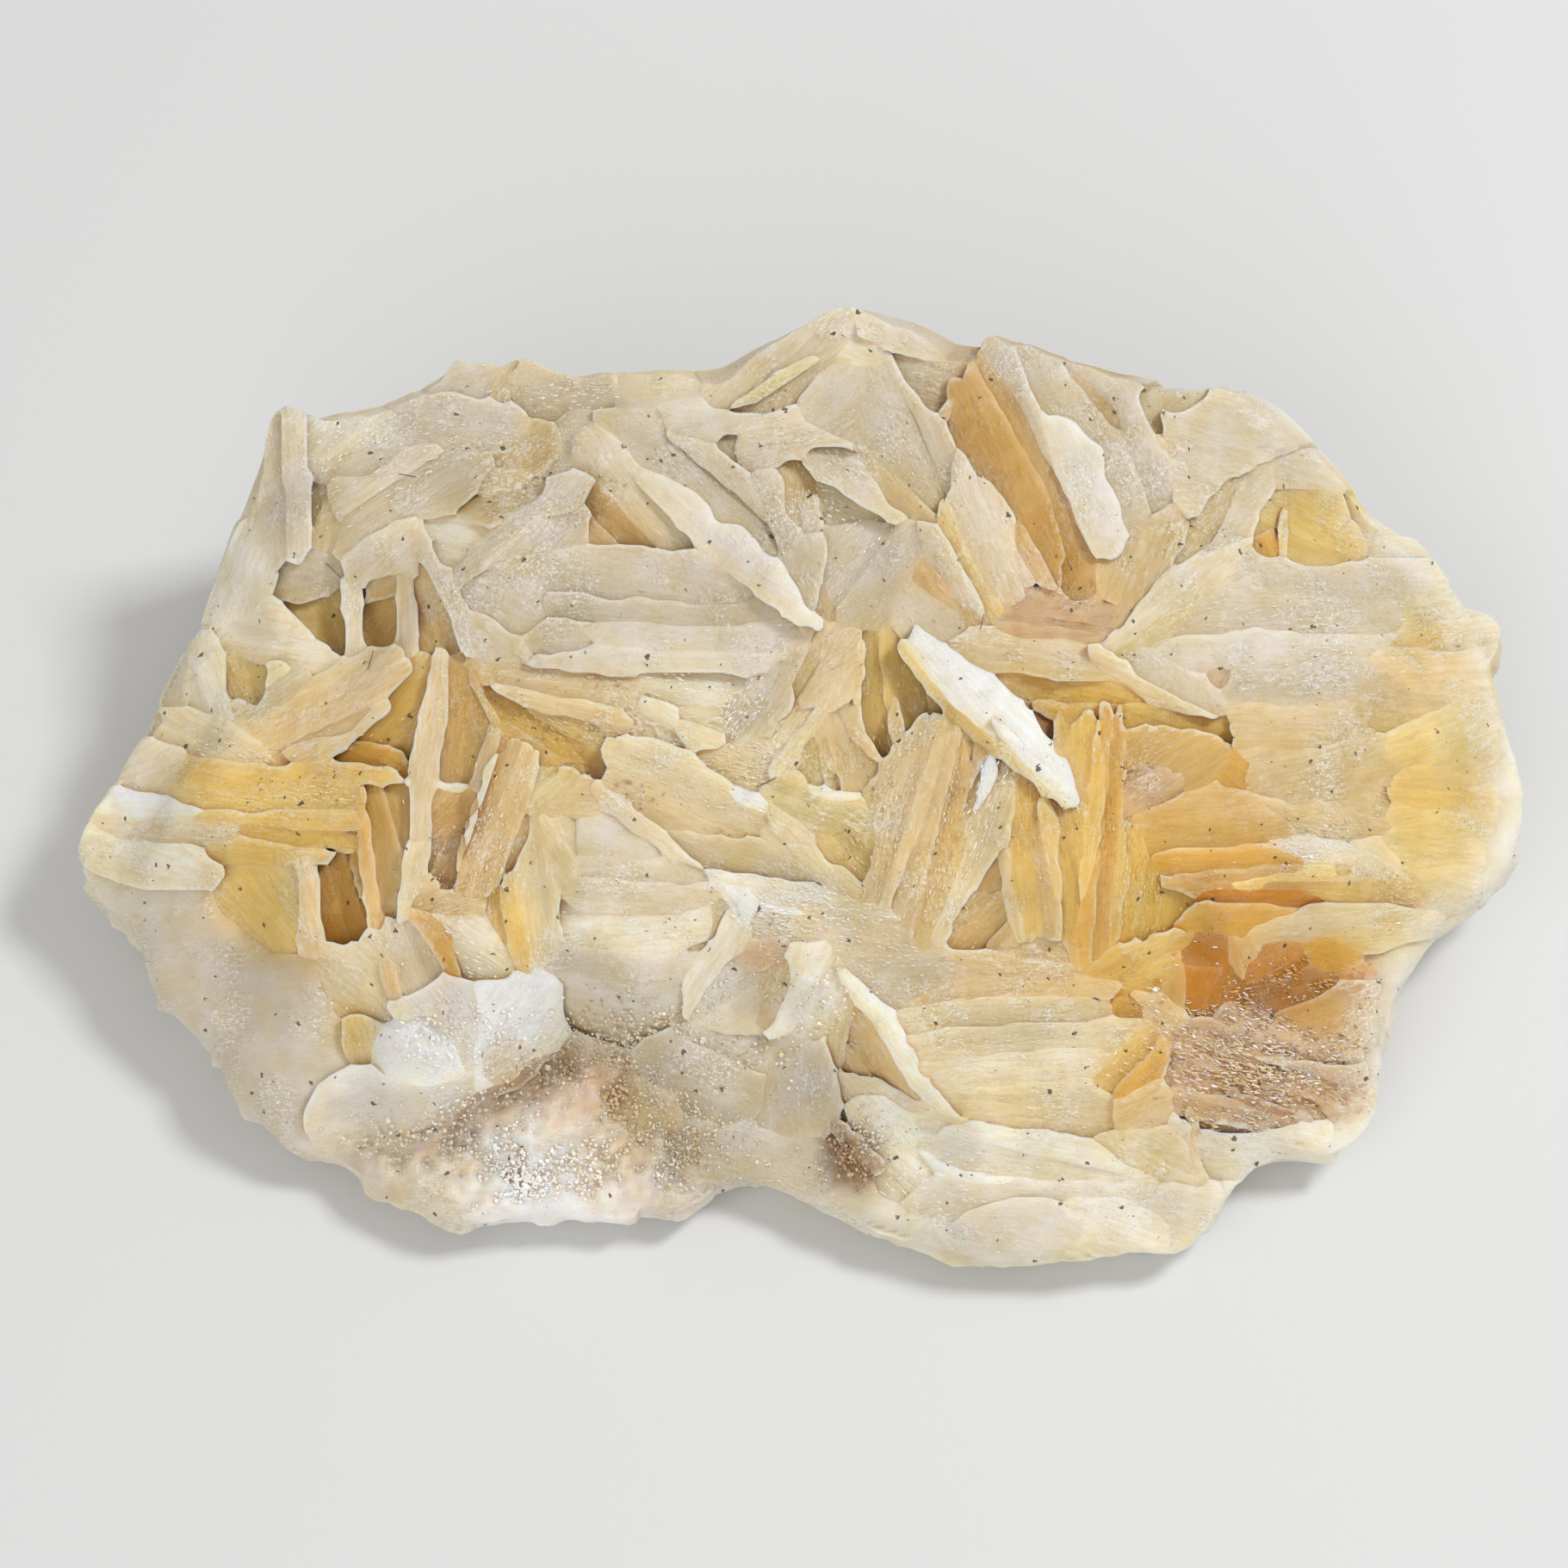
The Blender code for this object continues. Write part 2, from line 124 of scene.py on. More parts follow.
def field(points, lump, seed=0):
    """Smooth noise from -1 to 1 with lumps of the given size in millimetres."""
    p = np.asarray(points, float) / lump + seed * SEED_STEP
    cell = np.floor(p).astype(np.int64)
    share = p - cell
    share = share * share * (3.0 - 2.0 * share)
    total = np.zeros(p.shape[:-1])
    for corner in np.ndindex(2, 2, 2):
        code = (cell + np.array(corner)) @ HASH_STEPS
        code = ((code ^ (code >> 13)) * HASH_MIX) & HASH_BITS
        value = ((code ^ (code >> 16)) & LOW_BITS) / (LOW_BITS / 2) - 1.0
        total += value * np.prod(np.where(np.array(corner) == 1, share, 1.0 - share), axis=-1)
    return total


print("noise at three points", field([(0.2, 0, 0), (5, 1, 2), (9, 9, 9)], 2.0).round(2))

# %% [markdown]
# ## Colours of the stone
# Barite is colourless when pure. Here it is milky white at the crests, cream on the plates and
# honey to orange where iron has tinted it in the hollows. The tints are named once, as they look
# in daylight, and turned into the linear values that shaders work in.

# %% Named tints
TINTS = {
    "snow": (248, 247, 244), "white": (238, 233, 219), "cream": (228, 213, 177),
    "pinkish": (218, 206, 186), "lilac": (226, 219, 208), "honey": (212, 176, 104),
    "ochre": (200, 160, 86), "yellow": (232, 206, 128), "ochre_yellow": (224, 190, 100),
    "peach": (225, 198, 145), "orange": (216, 172, 80), "amber": (198, 134, 8),
    "brown": (170, 118, 52), "matrix": (212, 180, 144), "grey": (207, 197, 181),
    "rind": (220, 213, 190), "olive": (214, 199, 146), "tan": (215, 193, 148),
    "milk": (234, 223, 199), "straw": (222, 199, 132), "umber": (152, 112, 72),
}
FULL, GAMMA = 255.0, 2.2


def linear(tint):
    """A named daylight tint as linear red, green and blue."""
    return (np.array(TINTS[tint]) / FULL) ** GAMMA


def towards(tint, goal, share):
    """A tint moved by a share of the way to another one."""
    return tint + (goal - tint) * share


print(len(TINTS), "tints; cream is", linear("cream").round(2))

# %% [markdown]
# ## One mesh from many shapes
# Thousands of separate objects would be slow and awkward. A heap gathers the points and faces of
# many small shapes and turns them into one mesh. Two values ride on every point: the tint of its
# crystal, on the skin with painted light and shade mixed in, and its grain, which is its place along
# and across the crystal and how matte it is.

# %% The heap
class Heap:
    """Points, faces, tints and grain of many shapes that become one mesh."""

    def __init__(self):
        self.points, self.faces, self.tints, self.grain = [], [], [], []
        self.count = 0

    def add(self, points, faces, tint, grain):
        self.points.append(points)
        self.faces.append(faces + self.count)
        self.tints.append(np.broadcast_to(tint, points.shape))
        self.grain.append(grain)
        self.count += len(points)

    def build(self, name, material, smooth_angle=10.0):
        """Make the object, hang it on the root body and hide the solid it stands for."""
        mesh = bpy.data.meshes.new(name)
        points = np.concatenate(self.points) * MM
        faces = [tuple(face) for block in self.faces for face in block.tolist()]
        mesh.from_pydata(points.tolist(), [], faces)
        for label, rows in (("tint", self.tints), ("grain", self.grain)):
            layer = mesh.attributes.new(label, "FLOAT_VECTOR", "POINT")
            layer.data.foreach_set("vector", np.concatenate(rows).astype(np.float32).ravel())
        mesh.shade_smooth()
        mesh.set_sharp_from_angle(angle=math.radians(smooth_angle))
        mesh.materials.append(material)
        piece = bpy.data.objects.new(name, mesh)
        bpy.context.scene.collection.objects.link(piece)
        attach(piece, "root")
        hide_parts("barite_cluster")
        print(name, "has", sum(len(face) - 2 for face in faces), "triangles")


print("a heap gathers", ", ".join(vars(Heap())))

# %% [markdown]
# ## Shader sums that read like sums
# A node tree hides simple arithmetic behind boxes and wires. This small class wraps a socket so
# that ordinary operators add the Math nodes, and one function makes any other node.

# %% Sockets with operators
def node(tree, kind, settings=None, inputs=None, output=0):
    """Make a node: first its settings, then its values and links, and give back one output."""
    made = tree.nodes.new(kind)
    for label, value in (settings or {}).items():
        setattr(made, label, value)
    for label, value in (inputs or {}).items():
        socket = made.inputs[label]
        if isinstance(value, Wire):
            tree.links.new(value.socket, socket)
        else:
            socket.default_value = value
    return Wire(tree, made.outputs[output])


def sum_of(operation, turned_round=False):
    """A method that adds a Math node; turned round, the other value comes first."""
    def method(self, other):
        values = (other, self) if turned_round else (self, other)
        return node(self.tree, "ShaderNodeMath", {"operation": operation}, dict(enumerate(values)))
    return method


class Wire:
    """A socket of a node tree that can be added, multiplied and compared in plain Python."""

    __add__, __radd__ = sum_of("ADD"), sum_of("ADD", True)
    __sub__, __rsub__ = sum_of("SUBTRACT"), sum_of("SUBTRACT", True)
    __mul__, __rmul__ = sum_of("MULTIPLY"), sum_of("MULTIPLY", True)
    __truediv__, __rtruediv__ = sum_of("DIVIDE"), sum_of("DIVIDE", True)
    or_more = sum_of("MAXIMUM")

    def __init__(self, tree, socket):
        self.tree, self.socket = tree, socket

    def between(self, low, high):
        """0 at low, 1 at high, and smooth in between."""
        settings = {"interpolation_type": "SMOOTHSTEP"}
        return node(self.tree, "ShaderNodeMapRange", settings, {0: self, 1: low, 2: high})


print("a wire knows", [name for name in vars(Wire) if name.startswith("__r")], "too")

# %% [markdown]
# ## The look of crystal
# Blades are milky and let light in for a millimetre or two, so the shader scatters light under
# the surface. The tint of every point is already on the mesh, painted light and shade included; the
# shader adds what is too fine for it: soft clouds, striations that follow the grain of each crystal,
# and a sugar-like glitter of tiny broken faces, which comes partly from bumps and low roughness and
# partly from white flecks of painted highlight. First come the few patterns that this needs.

# %% Patterns and blends
def mix(tree, share, first, second, blend="MIX"):
    """Blend two colours by a share from 0 to 1."""
    settings = {"data_type": "RGBA", "blend_type": blend}
    return node(tree, "ShaderNodeMix", settings, {0: share, 6: first, 7: second}, 2)


def toned(tree, colour, mask, low, high, share=1.0):
    """A colour multiplied by the low tone where the mask is 0 and by the high one where it is 1."""
    return mix(tree, share, colour, mix(tree, mask, low, high), "MULTIPLY")


def noise(tree, vector, scale, detail, roughness, distortion=0.0, output=0):
    """Soft noise from 0 to 1."""
    return node(tree, "ShaderNodeTexNoise", {},
                {"Vector": vector, "Scale": scale, "Detail": detail, "Roughness": roughness,
                 "Distortion": distortion}, output)


def drawn_out(tree, vector, factors):
    """A vector stretched or squeezed along its three directions."""
    return node(tree, "ShaderNodeVectorMath", {"operation": "MULTIPLY"}, {0: vector, 1: factors})


def part_of(tree, vector, number):
    """One of a vector's three numbers."""
    return node(tree, "ShaderNodeSeparateXYZ", {}, {0: vector}, number)


def dots(tree, place, scale):
    """Scattered dots of many sizes, highest in the middle of each."""
    away, own = (node(tree, "ShaderNodeTexVoronoi", {}, {"Vector": place, "Scale": scale}, output)
                 for output in (0, 1))
    return part_of(tree, own, 0) * 0.6 - away


print("patterns:", [pattern.__name__ for pattern in (toned, noise, drawn_out, dots)])

# %% [markdown]
# Every stone material is built the same way and differs only in how its streaks and flecks are
# drawn out, how large its clouds are, how bumpy and rough it is, and whether light gets in. Scales
# of patterns on the object are per metre, so 4200 gives grit of about a quarter of a millimetre.

# %% Crystal shader
WARM_CLOUD, WHITE_CLOUD = (0.96, 0.92, 0.77, 1.0), (0.98, 0.98, 0.98, 1.0)
COOL_CLOUD = (1.03, 1.04, 1.09, 1.0)
DARK_LINE, LIGHT_LINE = (0.955, 0.93, 0.88, 1.0), (1.03, 1.035, 1.045, 1.0)
FROST, PAINTED_GLINT, SHADE = (0.93, 0.91, 0.86, 1.0), (0.97, 0.97, 0.94, 1.0), (0.86, 0.79, 0.66, 1.0)
DUST, FINE_DUST = (0.055, 0.045, 0.02, 1.0), (0.08, 0.065, 0.03, 1.0)
FROST_STRETCH = (0.9, 2.4, 0.0)
GRIT_SCALE, PATCH_SCALE, SHAKE_SCALE = 4200.0, 210.0, 2600.0
DUST_SCALE, FINE_DUST_SCALE = 1050.0, 2300.0
SHAKE = (0.0007, 0.0007, 0.0007)
BUMP_HEIGHT = 0.0005
STONE_IOR = 1.5
LIGHT_REACH, LIGHT_SHARES = 0.0014, (1.0, 0.75, 0.45)


def stone_material(name, streak, fleck, lump, bump, rough, glow):
    """A milky stone whose tint comes from the mesh and whose grain follows the crystal."""
    material = bpy.data.materials.new(name)
    material.use_nodes = True
    tree = material.node_tree
    tint, grain = (node(tree, "ShaderNodeAttribute", {"attribute_name": layer}, output=1)
                   for layer in ("tint", "grain"))
    place = node(tree, "ShaderNodeTexCoord", output=3)
    lines = noise(tree, drawn_out(tree, grain, streak), 1.0, 4.0, 0.65, 0.7)
    flecks = noise(tree, drawn_out(tree, grain, fleck), 1.0, 4.0, 0.7)
    frost = noise(tree, drawn_out(tree, grain, FROST_STRETCH), 1.0, 3.0, 0.65)
    clouds = noise(tree, place, 1.0 / (lump * MM), 5.0, 0.6)
    grit = noise(tree, place, GRIT_SCALE, 3.0, 0.7)
    patches = noise(tree, place, PATCH_SCALE, 4.0, 0.6)
    dense = patches.between(0.47, 0.64)
    matte = part_of(tree, grain, 2)
    whiteness = part_of(tree, tint, 2) / part_of(tree, tint, 0)
    pale = whiteness.between(0.1, 0.5) * 0.8 + 0.2

    warm = mix(tree, whiteness.between(0.72, 0.95), WARM_CLOUD, WHITE_CLOUD)
    colour = toned(tree, tint, clouds.between(0.32, 0.68), warm, COOL_CLOUD)
    colour = toned(tree, colour, lines.between(0.4, 0.6), DARK_LINE, LIGHT_LINE, 1.0 - matte * 0.8)
    frosted = frost.between(0.5, 0.64) * (0.06 + patches.between(0.42, 0.62) * 0.4)
    colour = mix(tree, frosted * pale * (1.0 - matte * 0.7), colour, FROST)
    # White flecks of painted highlight, thickest in dense patches; real glints come from the bump and
    # roughness further down.
    painted_glint_flecks = flecks.between(0.53, 0.62) * (0.05 + dense * 0.5)
    painted_glint_flecks = painted_glint_flecks.or_more(grit.between(0.55, 0.62) * (0.06 + dense * 0.8))
    colour = mix(tree, painted_glint_flecks * pale, colour, PAINTED_GLINT)
    dim = (0.46 - flecks).between(0.0, 0.1) * (0.15 + dense * 0.5)
    colour = mix(tree, dim, colour, mix(tree, 1.0, colour, SHADE, "MULTIPLY"))

    shaken = node(tree, "ShaderNodeVectorMath", {"operation": "MULTIPLY_ADD"},
                  {0: noise(tree, place, SHAKE_SCALE, 2.0, 0.5, output=1), 1: SHAKE, 2: place})
    dust = (dots(tree, shaken, DUST_SCALE) + patches * 0.4 - 0.58).between(0.0, 0.04)
    colour = mix(tree, dust * 0.85, colour, DUST)
    dust = (dots(tree, shaken, FINE_DUST_SCALE) - 0.36).between(0.0, 0.05)
    colour = mix(tree, dust * patches.between(0.5, 0.6) * 0.7, colour, FINE_DUST)

    height = lines * (0.35 - matte * 0.25) + grit * (0.4 + dense) + flecks * (0.5 + dense * 0.9)
    bumps = node(tree, "ShaderNodeBump", {},
                 {"Strength": bump, "Distance": BUMP_HEIGHT, "Height": height})
    shader = tree.nodes["Principled BSDF"]
    roughness = rough + (grit - 0.5) * 0.4 + matte * 0.3
    for label, wire in (("Base Color", colour), ("Roughness", roughness), ("Normal", bumps)):
        tree.links.new(wire.socket, shader.inputs[label])
    for label, value in (("IOR", STONE_IOR), ("Subsurface Weight", glow),
                         ("Subsurface Radius", LIGHT_SHARES), ("Subsurface Scale", LIGHT_REACH)):
        shader.inputs[label].default_value = value
    return material


EVEN_STREAK, EVEN_FLECK = (0.4, 0.4, 0.4), (3.0, 3.0, 3.0)
CRYSTAL = stone_material("barite skin", (0.42, 3.2, 0.0), (1.9, 6.5, 0.0), 3.0, 0.55, 0.16, 1.0)
GROUND = stone_material("barite grains", EVEN_STREAK, EVEN_FLECK, 5.0, 0.3, 0.4, 0.0)
GLINT = stone_material("barite chips", EVEN_STREAK, EVEN_FLECK, 5.0, 0.1, 0.12, 0.0)
for material in (CRYSTAL, GROUND, GLINT):
    print(material.name, "has", len(material.node_tree.nodes), "nodes")

# %% [markdown]
# ## The ground and the rind
# Under and round the blades lies the massive part: a flat cut below, a wall that bulges to its
# widest a little above it, and a domed top. It is made like a bowl, ring over ring, from one
# outline. The outline's points, each with its height, are listed and joined by a smooth curve.

# %% Outline of the rind
RIM = numbers_in("""
-55.8,-5.6,9 -55.2,-7.6,8 -53.2,-9.8,7.5 -51.2,-12.6,7 -50.4,-15.4,6.5 -47.6,-19,6 -45.4,-21,5.5
-44.3,-24,5 -42,-26.2,4.5 -39.2,-28.5,4 -35.6,-29.2,4 -32.8,-31.4,4 -29.2,-33.2,4 -26,-34.1,4
-21.5,-33.6,4 -16.5,-33.3,4 -12.6,-33,4 -9.6,-33,4 -6.6,-31,4 -3.6,-30.8,4 .4,-32.4,4 4.2,-33.8,4
9,-35.4,4 14,-36.8,4 20,-37,4 25,-36.4,4 29,-36.2,4 31.2,-34.4,4 33.6,-31,4.5 36.6,-28.9,5
41,-28.6,5 44.2,-26,5.5 44.9,-20.4,6 46.4,-15.8,7 49.4,-11.9,8 53.4,-8.6,9 55.6,-3.6,9.5 55.5,1,10
54.2,5,10.5 52.8,10,11 50.6,14.2,11.5 47,18.2,12 43.6,20.6,13 41,23.6,14 36.4,27.4,18 30,29.2,21
22,30.6,22 14,32.4,22 6,33.4,22 -2,31.6,22 -10,30.4,22 -18,30.2,22 -26,30.4,21 -32,28,20 -38,26.6,18
-42,22,16 -44.6,16.8,15 -46.8,11,14 -49.6,6,13 -52.6,.8,12 -55,-2.6,10.5
""")
PER_SPAN = 8


def smooth_loop(points, per_span):
    """A closed smooth curve through the points, with per_span points from each to the next."""
    share = (np.arange(per_span) / per_span)[None, :, None]
    p0, p1, p2, p3 = (np.roll(points, shift, axis=0)[:, None, :] for shift in (1, 0, -1, -2))
    curve = 0.5 * (2 * p1 + (p2 - p0) * share + (2 * p0 - 5 * p1 + 4 * p2 - p3) * share ** 2
                   + (3 * p1 - p0 - 3 * p2 + p3) * share ** 3)
    return curve.reshape(-1, points.shape[1])


rim = smooth_loop(spot(*RIM.T), PER_SPAN)
print("the rim has", len(rim), "points and is", np.ptp(rim[:, 0]).round(1), "mm long")

# %% [markdown]
# From the rim the ground rises steeply at first and then levels out into the lie of the top. The
# same rise is used for the blades, so that those at the border lean over the edge with it. At the
# back the top goes straight out to the rim.

# %% The rise from the rim
CENTRE = np.array((0.0, -0.5, 0.0)) + STAND
RISE_POWER, RISE_GAIN, BACK_FROM, BACK_WIDTH = 0.42, 2.3, 0.25, 0.35
FIRST_HEIGHT, HEIGHT_ROUNDS = 18.0, 14


def turn_and_reach(x, y):
    """Direction from the centre of the cluster, and distance from it."""
    return np.arctan2(y - CENTRE[1], x - CENTRE[0]), np.hypot(x - CENTRE[0], y - CENTRE[1])


rim_turn, rim_reach = turn_and_reach(*rim[:, :2].T)
order = np.argsort(rim_turn)
RIM_TURN, RIM_REACH, RIM_LEVEL = rim_turn[order], rim_reach[order], rim[order, 2]


def rim_at(turn):
    """Distance and height of the rim in a direction."""
    return (np.interp(turn, RIM_TURN, row, period=2 * math.pi) for row in (RIM_REACH, RIM_LEVEL))


def from_rim(x, y):
    """Height of the nearest rim, and how far in from it x, y are, as a share of the way."""
    turn, reach = turn_and_reach(x, y)
    furthest, level = rim_at(turn)
    return level, np.clip(1.0 - reach / furthest, 0.0, 1.0)


def dome_at(x, y):
    """Height of the ground's top at x, y, coming down to the rim at the front and the sides."""
    level, share = from_rim(x, y)
    back = (y - CENTRE[1]) / np.maximum(1.0, turn_and_reach(x, y)[1])
    full = np.maximum(share ** RISE_POWER * RISE_GAIN,
                      np.clip((back - BACK_FROM) / BACK_WIDTH, 0.0, 1.0))
    return level + (top_at(x, y) - level) * np.minimum(1.0, full)


def on_top(x, v, lift=0.0):
    """Points on the top, raised by lift, that are seen at x, v."""
    height = FIRST_HEIGHT
    for _ in range(HEIGHT_ROUNDS):
        place = spot(x, v, height)
        height = 0.5 * (height + dome_at(place[..., 0], place[..., 1]) + lift)
    return spot(x, v, height)


print("in the middle of the view the top is at", on_top(0.0, 0.0).round(1))

# %% [markdown]
# The ground is not the same all over. Each patch below has a place, its half sizes and a tint:
# the smooth cream rind, the pale pinkish crust of grains at the front left, the grey massive part
# beside it, brown stains and the deep honey hollows. Near a patch the tints blend.

# %% Patches of the ground
PATCHES = {
    "rind": "-50,-4,6,6 -47,10,5,9 8,-32,9,5",
    # The first two grey patches, on the rind at the front left, are painted shade; the others are the grey
    # massive part.
    "grey": "-46,-14,7,8 -39,-24,5,5 -8,-26,5,6 -2,-24,5,7 -10,-18,5,4",
    "lilac": "-28,-20,8,5",
    "pinkish": "-30,-29,6,4 -12,10,9,6 4,28,8,6",
    "snow": "-20,-29,7,4",
    "matrix": "-14,-25,5,5 36,-22,6,4",
    "white": "24,-33,9,4 36,-27,6,3 44,-20,3,7 54,-4,4,9 47,16,4,4 37,27,5,4",
    "yellow": "52,8,4,5 39,20,4,4",
    "brown": "-37,-8,4,5 40,-16,5,4",
    "honey": "-42,-9,5,4 -33,3,4,4 -26,3,6,6",
    "ochre": "-38,12,4,4 -30,-10,6,6 15,24,5,7 15,-9,8,6",
    "olive": "10,15,6,5",
    "tan": "2,3,5,6 22,4,8,5",
    "orange": "30,-7,9,5",
    "peach": "40,5,9,6 18,-20,9,6",
    "amber": "32,-15,4,3",
    "cream": "-28,24,8,4 -12,26,9,5 0,-14,6,5",
}
PATCH_PLACES = np.concatenate([numbers_in(text) for text in PATCHES.values()])
PATCH_TINTS = np.array([linear(tint) for tint, text in PATCHES.items() for _ in text.split()])
PATCH_NARROW = 1.6


def seen_from(points):
    """The x, v of the leaning plane at which points are seen."""
    ray = points - EYE
    place = EYE + ray * (SIGHT_REACH / -(ray @ TOWARDS))[..., None] - MIDDLE
    return place[..., 0], place @ UPHILL


def ground_tint(x, v):
    """Blend of the patches' tints at x, v."""
    gap = (np.stack((x, v), axis=-1)[..., None, :] - PATCH_PLACES[:, :2]) / PATCH_PLACES[:, 2:]
    weight = np.exp(-PATCH_NARROW * (gap ** 2).sum(axis=-1)) + 1e-9
    return weight @ PATCH_TINTS / weight.sum(axis=-1)[..., None]


print(len(PATCH_PLACES), "patches of", len(PATCHES), "tints")
